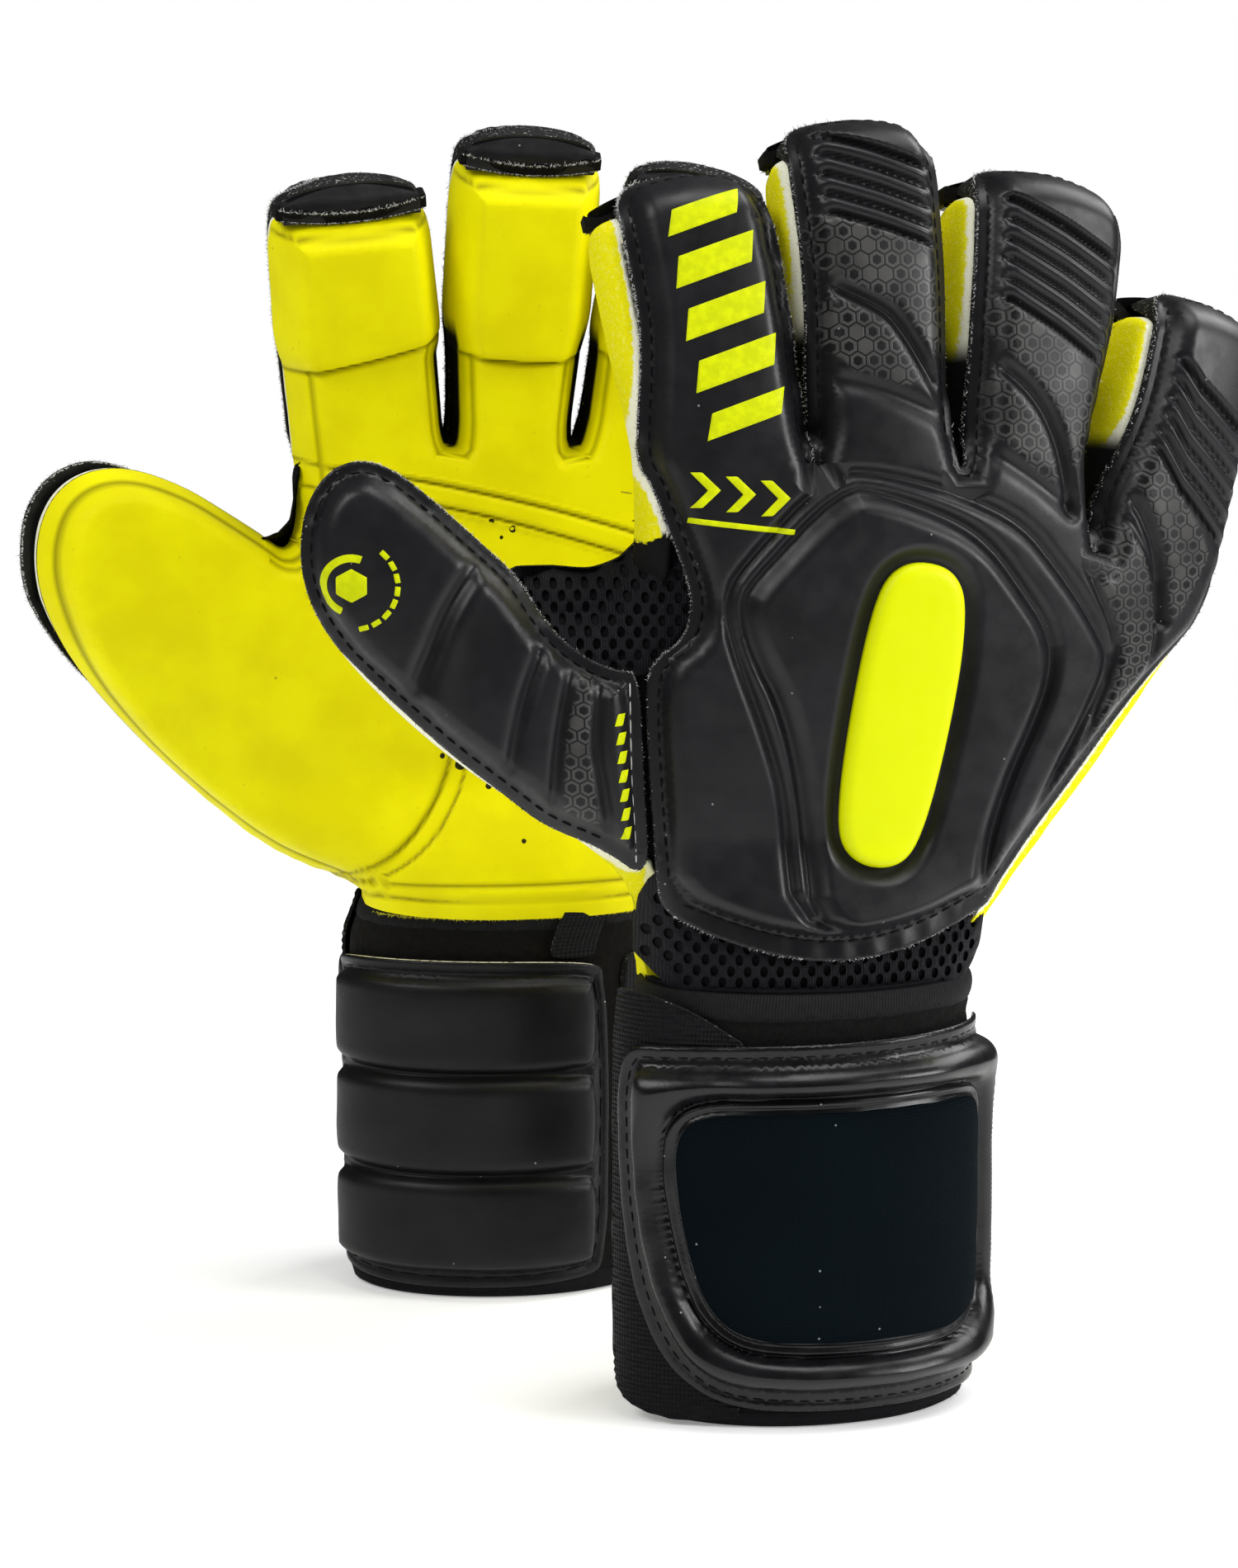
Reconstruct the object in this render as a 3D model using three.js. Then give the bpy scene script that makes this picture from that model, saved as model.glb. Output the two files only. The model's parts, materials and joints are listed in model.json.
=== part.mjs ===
// A pair of football goalkeeper gloves that stand upright on their wrist cuffs: the right glove in
// front with its back towards -Y, and the left glove behind it with its palm towards -Y.
// Millimetres, +Z up. The origin is on the floor, under the middle of the pair.
//
// Each glove is two padded faces, back and palm, sewn together round one outline. A face is a set
// of panels that follow the hand's bent middle surface and puff out from it between the seams, and
// the hand goes between the faces. The cuff is a sleeve with a loop band, a palm pad and a strap
// that wraps over its back.

import * as THREE from "three";

// ---------------------------------------------------------------- driving dimensions
const SEAM_GAP = 0.3; // between the seam line and each face's edge
const EDGE_THICKNESS = 0.7; // of a panel where it is sewn
const PUFF_LENGTH = 7; // how fast a face swells away from its seam
const BACK_THICKNESS = 5; // foam, backing and lining of the back
const PALM_THICKNESS = 5; // latex, backing and lining of the palm
const PANEL_GAP = 0.5; // between panels that are sewn edge to edge
const CUP_LITTLE_SIDE = 9; // how far the little-finger side bends to the palm, at CUP_REACH
const CUP_THUMB_SIDE = 5;
const CUP_REACH = 65;
const FINGER_CURL = 16; // how far the fingertips bend to the palm
const CURL_START = 190; // the height where that bend starts
const TIP_HEIGHT = 280; // of the middle finger
const JOINT_GAP = 2; // between the hand and a finger, at the finger's base
const FINGER_RELIEF = 0.75; // slope of a finger's palm-side base, which leaves room to flex
const THUMB_RELIEF = 0.62;

// The shape of each glove, seen from its back, as [across, up]. The two lie a little differently:
// the left one is more open, and leans to its thumb side. A finger has its base and tip, and its
// width at each.
const RIGHT_SHAPE = {
  fingers: [
    { name: "index", base: [-20, 206], tip: [-30.5, 268], widths: [35, 36] },
    { name: "middle", base: [14.5, 210.5], tip: [9.5, 280], widths: [30, 34] },
    { name: "ring", base: [45, 205], tip: [53, 269], widths: [29, 38] },
    { name: "little", base: [77.5, 187], tip: [92.5, 241], widths: [33, 32] },
  ],
  outerEdge: [[91, 170], [82, 160], [72.5, 150], [61, 137], [50.5, 125], [43, 114], [37, 103]],
  thumbLower: [[-38, 118], [-50, 127], [-61.7, 134.3]],
  thumbLowerMoving: [[-64, 136], [-70, 139.5], [-87, 153.5], [-104, 171], [-109.5, 184.5], [-109, 195]],
  thumbUpperMoving: [
    [-41.5, 168.8], [-48, 171], [-56, 177.5], [-65, 188], [-77, 198], [-89, 207], [-97, 209.5],
    [-104.5, 204.5],
  ],
  thumbBend: [[-62.2, 133.8], [-38.8, 166.2]],
  thumbBaseBack: [[-36, 119.5], [-36, 166.5]],
  thumbBasePalm: [[-14.5, 104], [-24.5, 170]],
  thumbPivot: [-51, 151],
  webEdge: [[-57.5, 184], [-48, 183], [-39.5, 187]],
  webLow: [[-49, 174], [-43, 171], [-37, 169], [-31, 171.5], [-29, 177.5]],
  webHigh: [[-52, 181.5], [-46, 181.5], [-41, 183], [-38.2, 188], [-37.2, 198]],
  backSides: [[-35.5, 50, 127], [-35.5, 66.5, 146], [-35.5, 81, 164], [-27.5, 90, 176]],
  palmSides: [[-14, 48, 123], [-14, 66, 146], [-18, 82, 165], [-37, 92, 187]],
  lining: [[-34.3, 34.3, 99], [-33, 45, 120], [-33, 61, 145]],
};
const LEFT_SHAPE = {
  fingers: [
    { name: "index", base: [-35.5, 204], tip: [-41.5, 268], widths: [36, 38] },
    { name: "middle", base: [-1.5, 207], tip: [1.8, 279], widths: [29, 35.5] },
    { name: "ring", base: [29, 205], tip: [42.5, 270], widths: [28, 34] },
    { name: "little", base: [59, 188], tip: [79.5, 243], widths: [31, 32] },
  ],
  outerEdge: [[72.5, 172], [67, 159], [58.5, 145], [50, 131], [43.5, 117], [37, 103]],
  thumbLower: [[-41.5, 101.5], [-59, 107.5], [-70.5, 117], [-80.3, 124.7]],
  thumbLowerMoving: [[-82.3, 126.8], [-94, 139], [-103.5, 151.5], [-111, 163], [-116.3, 172], [-116.5, 181]],
  thumbUpperMoving: [
    [-52.2, 175.5], [-58, 179.5], [-66, 186.5], [-77, 193.5], [-89, 200.5], [-100, 203.5], [-109, 199],
  ],
  thumbBend: [[-80.8, 124.6], [-50.5, 172.8]],
  thumbBaseBack: [[-37.5, 105.5], [-44.5, 170]],
  thumbBasePalm: [[-15.5, 104], [-35, 168]],
  thumbPivot: [-66, 149],
  webEdge: [[-58.5, 187.5], [-54.5, 189.5]],
  webLow: [[-56.5, 182.5], [-53, 179.5], [-50.5, 177.8], [-49, 181], [-49.8, 188]],
  webHigh: [[-57.5, 186.5], [-55.7, 186.5], [-54.3, 187], [-53.5, 190], [-53.1, 197.5]],
  backSides: [[-37, 46.5, 127], [-39.5, 57, 146], [-43, 65, 164], [-46, 70.5, 176]],
  palmSides: [[-14, 46, 123], [-18, 57, 146], [-26, 65, 165], [-49.5, 73, 187]],
  lining: [[-34.3, 34.3, 99], [-34, 41, 120], [-38, 50, 145]],
};
const THUMB_DIRECTION = [-0.8, 0.6]; // the thumb bends about a line square to this

// Where each glove stands on the floor, and how far it is turned.
const RIGHT_GLOVE = { x: 40.8, y: -50.8, turn: 13 };
const LEFT_GLOVE = { x: -25.2, y: 51.2, turn: 8 };

// Cuff: half width and half depth of the sleeve's outside, and layers outwards from it.
const CUFF_HALF_WIDTH = 35.5;
const CUFF_HALF_DEPTH = 23.5;
const CUFF_TOP = 97;
const SLEEVE_THICKNESS = 1.6;
const HAND_BOTTOM = 98; // where the hand's panels start
const WEB_THICKNESS = 1.5;

const rad = THREE.MathUtils.degToRad;

// ---------------------------------------------------------------- closed solids from grids of points
// A grid is rows of points. The solid lies between an outer and an inner grid of the same size.
function triangles(points, quads) {
  const position = new Float32Array(quads.length * 18);
  let at = 0;
  for (const [a, b, c, d] of quads) {
    for (const k of [a, b, c, a, c, d]) {
      points[k].toArray(position, at);
      at += 3;
    }
  }
  return new THREE.BufferGeometry().setAttribute("position", new THREE.BufferAttribute(position, 3));
}

// rows x columns between two surfaces; ring joins each row's last point to its first.
function layerGeometry(outer, inner, ring = false) {
  const rows = outer.length;
  const columns = outer[0].length;
  const points = [...outer.flat(), ...inner.flat()];
  const out = (i, j) => i * columns + (j % columns);
  const inn = (i, j) => rows * columns + out(i, j);
  const quads = [];
  const last = ring ? columns : columns - 1;
  for (let i = 0; i < rows - 1; i++) {
    for (let j = 0; j < last; j++) {
      quads.push([out(i, j), out(i, j + 1), out(i + 1, j + 1), out(i + 1, j)]);
      quads.push([inn(i, j), inn(i + 1, j), inn(i + 1, j + 1), inn(i, j + 1)]);
    }
  }
  for (let j = 0; j < last; j++) {
    quads.push([out(0, j), inn(0, j), inn(0, j + 1), out(0, j + 1)]);
    quads.push([out(rows - 1, j), out(rows - 1, j + 1), inn(rows - 1, j + 1), inn(rows - 1, j)]);
  }
  if (!ring) {
    const side = columns - 1;
    for (let i = 0; i < rows - 1; i++) {
      quads.push([out(i, 0), out(i + 1, 0), inn(i + 1, 0), inn(i, 0)]);
      quads.push([out(i, side), inn(i, side), inn(i + 1, side), out(i + 1, side)]);
    }
  }
  const geometry = triangles(points, quads);
  return volumeOf(geometry) < 0 ? turnedInsideOut(geometry) : geometry;
}

function volumeOf(geometry) {
  const p = geometry.attributes.position;
  const [a, b, c] = [new THREE.Vector3(), new THREE.Vector3(), new THREE.Vector3()];
  let sum = 0;
  for (let i = 0; i < p.count; i += 3) {
    a.fromBufferAttribute(p, i);
    b.fromBufferAttribute(p, i + 1);
    c.fromBufferAttribute(p, i + 2);
    sum += a.dot(b.cross(c));
  }
  return sum / 6;
}

function turnedInsideOut(geometry) {
  const p = geometry.attributes.position;
  for (let i = 0; i < p.count; i += 3) {
    const second = new THREE.Vector3().fromBufferAttribute(p, i + 1);
    const third = new THREE.Vector3().fromBufferAttribute(p, i + 2);
    p.setXYZ(i + 1, third.x, third.y, third.z);
    p.setXYZ(i + 2, second.x, second.y, second.z);
  }
  return geometry;
}

// ---------------------------------------------------------------- the hand's middle surface and outline
function smooth(value, low, high) {
  return THREE.MathUtils.smoothstep(value, low, high);
}

function interpolate(value, table) {
  for (let i = 1; i < table.length; i++) {
    const [x0, y0] = table[i - 1];
    const [x1, y1] = table[i];
    if (value <= x1) return y0 + (y1 - y0) * Math.max(0, (value - x0) / (x1 - x0));
  }
  return table[table.length - 1][1];
}

const steps = (from, to, count) =>
  Array.from({ length: count + 1 }, (_, k) => from + ((to - from) * k) / count);

function middleDepth(x, z) {
  const cup = x > 0 ? CUP_LITTLE_SIDE : CUP_THUMB_SIDE;
  const curl = Math.max(0, (z - CURL_START) / (TIP_HEIGHT - CURL_START));
  return cup * (x / CUP_REACH) ** 2 * smooth(z, 105, 170) + FINGER_CURL * curl ** 2;
}

// The point at (across, up) on the middle surface, moved out by n along its normal: + to the back,
// - to the palm.
function handPoint(x, z, n) {
  const step = 0.5;
  const slopeX = (middleDepth(x + step, z) - middleDepth(x - step, z)) / (2 * step);
  const slopeZ = (middleDepth(x, z + step) - middleDepth(x, z - step)) / (2 * step);
  const normal = new THREE.Vector3(slopeX, -1, slopeZ).normalize();
  return new THREE.Vector3(x, middleDepth(x, z), z).addScaledVector(normal, n);
}

// Height of each face over the middle surface, far from any seam, by height above the floor.
const BACK_CROWN = [[98, 24], [115, 22], [140, 18.5], [170, 17], [210, 15.5], [250, 14], [282, 12.5]];
const PALM_CROWN = [[98, 23.5], [115, 19.5], [140, 17], [170, 16], [210, 15], [250, 15], [282, 13.5]];

// a fingertip's corner: [from the end, off each side]
const CORNER_STEPS = [[8, 0], [3.5, 1.8], [1, 4], [0, 8]];
// where a finger's columns lie, as shares of its half width
const FINGER_ACROSS = [-1, -0.8, -0.4, 0, 0.4, 0.8, 1];
const THUMB_ACROSS = [0, 0.1, 0.3, 0.5, 0.7, 0.9, 1];
const THUMB_STATIONS = 7;
const TOP_COLUMNS = 5; // columns of the hand's panels under each finger
const BACK_BOTTOM_SIDE = 112;
const BACK_BOTTOM_DIP = 9.5; // the bottom edge of the back dips in the middle of the wrist
const PALM_SEAM = 187; // the height of the seam across the palm, below the fingers
const PALM_SEAM_DROP = 14; // how far it falls at the little-finger side

// A finger of the pattern: its line, and its half width at a distance along it.
class Finger {
  constructor({ name, base, tip, widths }) {
    this.name = name;
    this.base = new THREE.Vector2(...base);
    this.along = new THREE.Vector2(...tip).sub(this.base);
    this.length = this.along.length();
    this.along.normalize();
    this.across = new THREE.Vector2(this.along.y, -this.along.x);
    this.widths = widths;
    this.stations = [0, 0.2, 0.45, 0.7].map((share) => share * this.length);
    this.stations.push(...CORNER_STEPS.map(([fromEnd]) => this.length - fromEnd));
  }

  halfWidth(s) {
    const corner = interpolate(this.length - s, [...CORNER_STEPS].reverse());
    const share = THREE.MathUtils.clamp(s / this.length, 0, 1);
    return THREE.MathUtils.lerp(...this.widths, share) / 2 - corner;
  }

  point(s, side) {
    return this.base.clone().addScaledVector(this.along, s).addScaledVector(this.across, side).toArray();
  }

  // Rows for a panel. relief moves the base of each column up the finger by that much per
  // millimetre of height.
  rows(crown, relief) {
    return this.stations.map((s, k) =>
      FINGER_ACROSS.map((share) => {
        const half = this.halfWidth(s);
        const height = interpolate(this.base.y, crown) * swell(half * (1 - Math.abs(share)));
        const start = [relief, 0.4 * relief][k] ?? 0;
        return this.point(s + start * height, share * half);
      }),
    );
  }
}

// How much of its full height a padded face has, at a distance from its seam.
function swell(distance) {
  return 1 - Math.exp(-distance / PUFF_LENGTH);
}

// Rows between two polylines with the same number of points, at the given shares of the way.
function rowsBetween(low, high, shares) {
  return shares.map((t) => low.map(([x, z], k) => [x + (high[k][0] - x) * t, z + (high[k][1] - z) * t]));
}

// Points along a polyline at equal shares of its length.
function alongPolyline(points, count) {
  const curve = new THREE.CurvePath();
  for (let i = 1; i < points.length; i++) {
    curve.add(new THREE.LineCurve(new THREE.Vector2(...points[i - 1]), new THREE.Vector2(...points[i])));
  }
  return Array.from({ length: count }, (_, k) => curve.getPoint(k / (count - 1)).toArray());
}

// The pattern of one glove: its outline, and the panels cut from it.
class Pattern {
  constructor(shape) {
    Object.assign(this, shape);
    this.fingers = shape.fingers.map((finger) => new Finger(finger));
    this.outline = this.seamLine();
  }

  // The seam line of the whole glove, open at the wrist, where it runs straight down to the floor.
  seamLine() {
    const points = [[-37, 0], [-37, 101], ...this.thumbLower, ...this.thumbLowerMoving];
    points.push(...[...this.thumbUpperMoving].reverse().slice(0, 4), ...this.webEdge);
    for (const finger of this.fingers) {
      const edge = (sign) => finger.stations.map((s) => finger.point(s, sign * finger.halfWidth(s)));
      points.push(...edge(-1), ...edge(1).reverse());
    }
    points.push(...this.outerEdge, [37, 0]);
    return points;
  }

  distanceToSeam(x, z) {
    let least = Infinity;
    for (let i = 1; i < this.outline.length; i++) {
      const [ax, az] = this.outline[i - 1];
      const [bx, bz] = this.outline[i];
      const [dx, dz] = [bx - ax, bz - az];
      const t = THREE.MathUtils.clamp(((x - ax) * dx + (z - az) * dz) / (dx * dx + dz * dz), 0, 1);
      least = Math.min(least, Math.hypot(x - ax - dx * t, z - az - dz * t));
    }
    return least;
  }

  // How far the outside of a face stands from the middle surface.
  faceHeight(x, z, crown) {
    return SEAM_GAP + EDGE_THICKNESS + interpolate(z, crown) * swell(this.distanceToSeam(x, z));
  }

  // A padded panel: rows of [across, up] points, on the back (side 1) or the palm (side -1).
  panel(rows, side) {
    const crown = side > 0 ? BACK_CROWN : PALM_CROWN;
    const thickness = side > 0 ? BACK_THICKNESS : PALM_THICKNESS;
    const outside = ([x, z]) => this.faceHeight(x, z, crown);
    const inside = ([x, z]) => Math.max(SEAM_GAP, this.faceHeight(x, z, crown) - thickness);
    return this.layer(rows, (point) => side * outside(point), (point) => side * inside(point));
  }

  // A layer between two heights over the middle surface.
  layer(rows, outside, inside) {
    const surface = (height) => rows.map((row) => row.map((point) => handPoint(...point, height(point))));
    return layerGeometry(surface(outside), surface(inside));
  }

  // The hand's top edge: square to each finger, JOINT_GAP under it. Where it steps down to a finger
  // that starts lower than its neighbour, the step stays outside that finger's side.
  topEdge() {
    const inset = 1.8;
    return this.fingers.flatMap((finger, k) => {
      const stepsDown = k > 0 && finger.base.y < this.fingers[k - 1].base.y;
      const half = finger.widths[0] / 2;
      return steps(stepsDown ? -half - 0.4 : inset - half, half - inset, TOP_COLUMNS - 1).map((side) =>
        finger.point(-JOINT_GAP, side),
      );
    });
  }

  // A row across the hand with as many points as its top edge.
  row(left, right, z) {
    const shares = steps(0, 1, this.fingers.length * TOP_COLUMNS - 1);
    return shares.map((share) => [left + (right - left) * share, z(share)]);
  }

  backRows() {
    const arch = (share) => 4 * Math.sin(Math.PI * share);
    const rows = this.backSides.map(([left, right, z]) => this.row(left, right, (share) => z + arch(share)));
    return [this.row(-35.5, 38.5, backBottom), ...rows, this.topEdge()];
  }

  palmHeelRows() {
    const [left, right] = this.palmSides[this.palmSides.length - 1];
    const sides = this.palmSides.slice(0, -1).map(([l, r, z]) => this.row(l, r, () => z));
    return [this.row(-14, 36, () => HAND_BOTTOM), ...sides, this.row(left, right - 5.5, palmSeam)];
  }

  palmUpperRows() {
    const [left, right] = this.palmSides[this.palmSides.length - 1];
    const low = this.row(left, right - 5, (share) => palmSeam(share) + PANEL_GAP);
    return rowsBetween(low, this.topEdge(), [0, 0.5, 1]);
  }

  // The moving thumb, from its bend line to its end. Rows run along it and columns across it.
  thumbRows(relief) {
    const lower = alongPolyline(this.thumbLowerMoving, THUMB_STATIONS);
    const upper = alongPolyline(this.thumbUpperMoving, THUMB_STATIONS);
    return lower.map((low, k) =>
      THUMB_ACROSS.map((share) => {
        const x = low[0] + (upper[k][0] - low[0]) * share;
        const z = low[1] + (upper[k][1] - low[1]) * share;
        const start = ([relief, 0.4 * relief][k] ?? 0) * this.faceHeight(x, z, PALM_CROWN);
        return [x + THUMB_DIRECTION[0] * start, z + THUMB_DIRECTION[1] * start];
      }),
    );
  }

  // The part of the thumb between the hand's seam and the bend line, which stays with the hand.
  thumbBaseRows([innerLow, innerHigh]) {
    const across = ([from, to]) => rowsBetween([from], [to], THUMB_ACROSS).map((row) => row[0]);
    return rowsBetween(across(this.thumbBend), across([innerLow, innerHigh]), [0, 0.5, 1]);
  }
}

// The bottom edge of the back, by share of the way across.
function backBottom(share) {
  return BACK_BOTTOM_SIDE - BACK_BOTTOM_DIP * Math.sin(Math.PI * share);
}

function palmSeam(share) {
  return PALM_SEAM - PALM_SEAM_DROP * share ** 3;
}

// ---------------------------------------------------------------- badge on the back
const BADGE_CENTRE = [16, 152];
const BADGE_HALF_LENGTH = 33;
const BADGE_HALF_WIDTH = 13;
const BADGE_LEAN = 9;
const BADGE_THICKNESS = 1.6;

// A long six-sided plate: rows from its lower point to its upper point.
function badgeGeometry(pattern) {
  const turn = rad(BADGE_LEAN);
  const rows = [-1, -0.72, 0, 0.72, 1].map((t, k) => {
    const half = k === 0 || k === 4 ? BADGE_HALF_WIDTH * 0.35 : BADGE_HALF_WIDTH;
    return [-1, -0.33, 0.33, 1].map((share) => {
      const [a, b] = [share * half, t * BADGE_HALF_LENGTH];
      return [
        BADGE_CENTRE[0] + a * Math.cos(turn) + b * Math.sin(turn),
        BADGE_CENTRE[1] - a * Math.sin(turn) + b * Math.cos(turn),
      ];
    });
  });
  const lift = 0.8; // clears the flat facets of the panel under it
  const over = (n) => ([x, z]) => pattern.faceHeight(x, z, BACK_CROWN) + n;
  return pattern.layer(rows, over(lift + BADGE_THICKNESS), over(lift));
}

// ---------------------------------------------------------------- cuff
// A point on the cuff at an angle: 0 at the little-finger side, 90 at the back, 180 at the thumb side.
function cuffPoint(angle, z, out) {
  const a = rad(angle);
  const x = (CUFF_HALF_WIDTH + out) * Math.cos(a);
  const y = -(CUFF_HALF_DEPTH + out) * Math.sin(a);
  return new THREE.Vector3(x, y, z);
}

const RING_SIDES = 28;
function ringGeometry(inner, outer, low, high) {
  const angles = Array.from({ length: RING_SIDES }, (_, k) => (k * 360) / RING_SIDES);
  const rows = (out) => [low, high].map((z) => angles.map((angle) => cuffPoint(angle, z, out)));
  return layerGeometry(rows(outer), rows(inner), true);
}

// Part of the cuff: angles, and for each angle the heights of the rows. out(angle, share) is the
// outer surface.
function arcGeometry(angles, shares, low, high, inner, out) {
  const height = (angle, t) => low(angle) + (high(angle) - low(angle)) * t;
  const rows = (reach) =>
    shares.map((t) => angles.map((angle) => cuffPoint(angle, height(angle, t), reach(angle, t))));
  return layerGeometry(rows(out), rows(() => inner));
}

const LOOP_BAND = { inner: 0.3, outer: 1.8, low: 8, high: 92 };
const HOOK_STRIP = { inner: 2.1, outer: 3.1, low: 4, high: 91, from: 122, to: 171 };
const PULL_TAB = { inner: 2.2, outer: 3.6, low: 84.5, high: 96, from: 284, to: 300 };
const STRAP = { inner: 3.5, outer: 8, panel: 5, low: 4, high: 86, from: -4, to: 166 };
const PALM_PAD = { inner: 2.2, outer: 7.8, low: 3, high: 83, from: 176, to: 307 };
const STRAP_ROOT = { inner: 2.2, outer: 4.4, low: 8, high: 82, from: -44, to: -7 };
const WINDOW = { from: 18, to: 131, low: 0.2, high: 0.8, gap: 0.4 };
const STRAP_HINGE_OUT = 9; // the strap folds out about an upright line at its outer face

// The strap's lower edge rises towards its free end.
function strapLow(angle) {
  return STRAP.low + 22 * smooth(angle, 105, STRAP.to);
}

function strapHigh(angle) {
  return STRAP.high - 3 * smooth(angle, 120, STRAP.to);
}

function strapGeometry() {
  const { from, to, low, high } = WINDOW;
  const middle = steps(33, 117, 6);
  const free = steps(142, STRAP.to, 3);
  const angles = [STRAP.from, 6, from - 3, from + 1, ...middle, to - 1, to + 3, ...free];
  const shares = [0, low - 0.03, low + 0.01, 0.5, high - 0.01, high + 0.03, 1];
  const inWindow = (angle, t) => angle > from && angle < to && t > low && t < high;
  const out = (angle, t) => (inWindow(angle, t) ? STRAP.panel : STRAP.outer);
  return arcGeometry(angles, shares, strapLow, strapHigh, STRAP.inner, out);
}

function windowGeometry() {
  const { from, to, low, high, gap } = WINDOW;
  const angles = steps(from + 3, to - 3, 8);
  const shares = [low + 0.02, 0.5, high - 0.02];
  return arcGeometry(angles, shares, strapLow, strapHigh, STRAP.panel + gap, () => STRAP.outer - 1);
}

// The mesh shows below the back's lower edge, and goes into the sleeve.
function wristMeshGeometry(pattern) {
  const rows = [0, 1].map((level) =>
    steps(0, 1, 8).map((share) => {
      const high = backBottom(share) - PANEL_GAP;
      return [(-35 + 73 * share) * (0.97 + 0.03 * level), HAND_BOTTOM + (high - HAND_BOTTOM) * level];
    }),
  );
  const outside = ([x, z]) => pattern.faceHeight(x, z, BACK_CROWN) - 1.5;
  return pattern.layer(rows, outside, (point) => Math.max(SEAM_GAP / 2, outside(point) - 2));
}

// The mesh web between the thumb and the index finger, on the back's side of the seam.
function webGeometry(pattern) {
  const inside = ([x, z]) => SEAM_GAP + 5 * swell(pattern.distanceToSeam(x, z));
  const rows = rowsBetween(pattern.webLow, pattern.webHigh, [0, 0.5, 1]);
  return pattern.layer(rows, (point) => inside(point) + WEB_THICKNESS, inside);
}

// ---------------------------------------------------------------- materials and assembly
const material = (color, roughness) => new THREE.MeshStandardMaterial({ color, roughness, metalness: 0 });
const BLACK_FOAM = material(0x1b1c20, 0.6);
const YELLOW_LATEX = material(0xe6e600, 0.65);
const YELLOW_BADGE = material(0xd6f000, 0.45);
const BLACK_MESH = material(0x0d0e12, 0.9);
const BLACK_FABRIC = material(0x101012, 0.95);
const KNIT = material(0x0c1a20, 0.9);
const HOOK = material(0x121214, 0.7);
const LINING = material(0x1a1a1c, 0.95);

function addMesh(parent, name, geometry, surface) {
  const mesh = new THREE.Mesh(geometry, surface);
  mesh.name = name;
  parent.add(mesh);
  return mesh;
}

// A group at a bend line, whose own X axis lies along that line. Geometry made in the hand's frame
// goes into it.
function pivotGroup(parent, name, at, alongXZ) {
  const origin = handPoint(at[0], at[1], 0);
  const ahead = handPoint(at[0] + alongXZ[0], at[1] + alongXZ[1], 0).sub(origin).normalize();
  const beside = handPoint(at[0] + alongXZ[1], at[1] - alongXZ[0], 0).sub(origin);
  const across = beside.addScaledVector(ahead, -beside.dot(ahead)).normalize();
  const pivot = new THREE.Group();
  pivot.name = name;
  pivot.matrix.makeBasis(across, ahead, new THREE.Vector3().crossVectors(across, ahead)).setPosition(origin);
  pivot.matrix.decompose(pivot.position, pivot.quaternion, pivot.scale);
  pivot.updateMatrix();
  parent.add(pivot);
  return pivot;
}

function addToPivot(pivot, name, geometry, surface) {
  const inverse = pivot.matrix.clone().invert();
  return addMesh(pivot, name, geometry.applyMatrix4(inverse), surface);
}

function addFingers(glove, prefix, pattern) {
  for (const finger of pattern.fingers) {
    const name = prefix + finger.name;
    const pivot = pivotGroup(glove, name + "_pivot", finger.base.toArray(), finger.along.toArray());
    const back = pattern.panel(finger.rows(BACK_CROWN, 0), 1);
    const palm = pattern.panel(finger.rows(PALM_CROWN, FINGER_RELIEF), -1);
    addToPivot(pivot, name + "_back", back, BLACK_FOAM);
    addToPivot(pivot, name + "_palm", palm, YELLOW_LATEX);
  }
}

function addThumb(glove, prefix, pattern) {
  const pivot = pivotGroup(glove, prefix + "thumb_pivot", pattern.thumbPivot, THUMB_DIRECTION);
  const name = prefix + "thumb";
  addToPivot(pivot, name + "_back", pattern.panel(pattern.thumbRows(0), 1), BLACK_FOAM);
  addToPivot(pivot, name + "_palm", pattern.panel(pattern.thumbRows(THUMB_RELIEF), -1), YELLOW_LATEX);
  const baseBack = pattern.panel(pattern.thumbBaseRows(pattern.thumbBaseBack), 1);
  const basePalm = pattern.panel(pattern.thumbBaseRows(pattern.thumbBasePalm), -1);
  addMesh(glove, name + "_base_back", baseBack, BLACK_FOAM);
  addMesh(glove, name + "_base_palm", basePalm, YELLOW_LATEX);
}

function addHand(glove, prefix, pattern) {
  addMesh(glove, prefix + "hand_back", pattern.panel(pattern.backRows(), 1), BLACK_FOAM);
  addMesh(glove, prefix + "back_badge", badgeGeometry(pattern), YELLOW_BADGE);
  addMesh(glove, prefix + "palm_upper", pattern.panel(pattern.palmUpperRows(), -1), YELLOW_LATEX);
  addMesh(glove, prefix + "palm_heel", pattern.panel(pattern.palmHeelRows(), -1), YELLOW_LATEX);
  addMesh(glove, prefix + "thumb_web_mesh", webGeometry(pattern), BLACK_MESH);
  addMesh(glove, prefix + "wrist_mesh", wristMeshGeometry(pattern), BLACK_MESH);
  addMesh(glove, prefix + "hand_lining", liningGeometry(pattern), LINING);
}

// Lining inside the hand, from the sleeve up to below the fingers.
const LINING_SIDES = 20;
const LINING_INSET = 6.5; // from the seams
const LINING_THICKNESS = 1.2;
function liningGeometry(pattern) {
  const ring = ([left, right, z], inset) =>
    steps(0, 2 * Math.PI, LINING_SIDES).slice(0, -1).map((angle) => {
      const x = (left + right) / 2 + ((right - left) / 2 - LINING_INSET - inset) * Math.cos(angle);
      const crown = Math.sin(angle) > 0 ? BACK_CROWN : PALM_CROWN;
      return handPoint(x, z, (interpolate(z, crown) - 8 - inset) * Math.sin(angle));
    });
  const rings = (inset) => pattern.lining.map((level) => ring(level, inset));
  return layerGeometry(rings(0), rings(LINING_THICKNESS), true);
}

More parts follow.
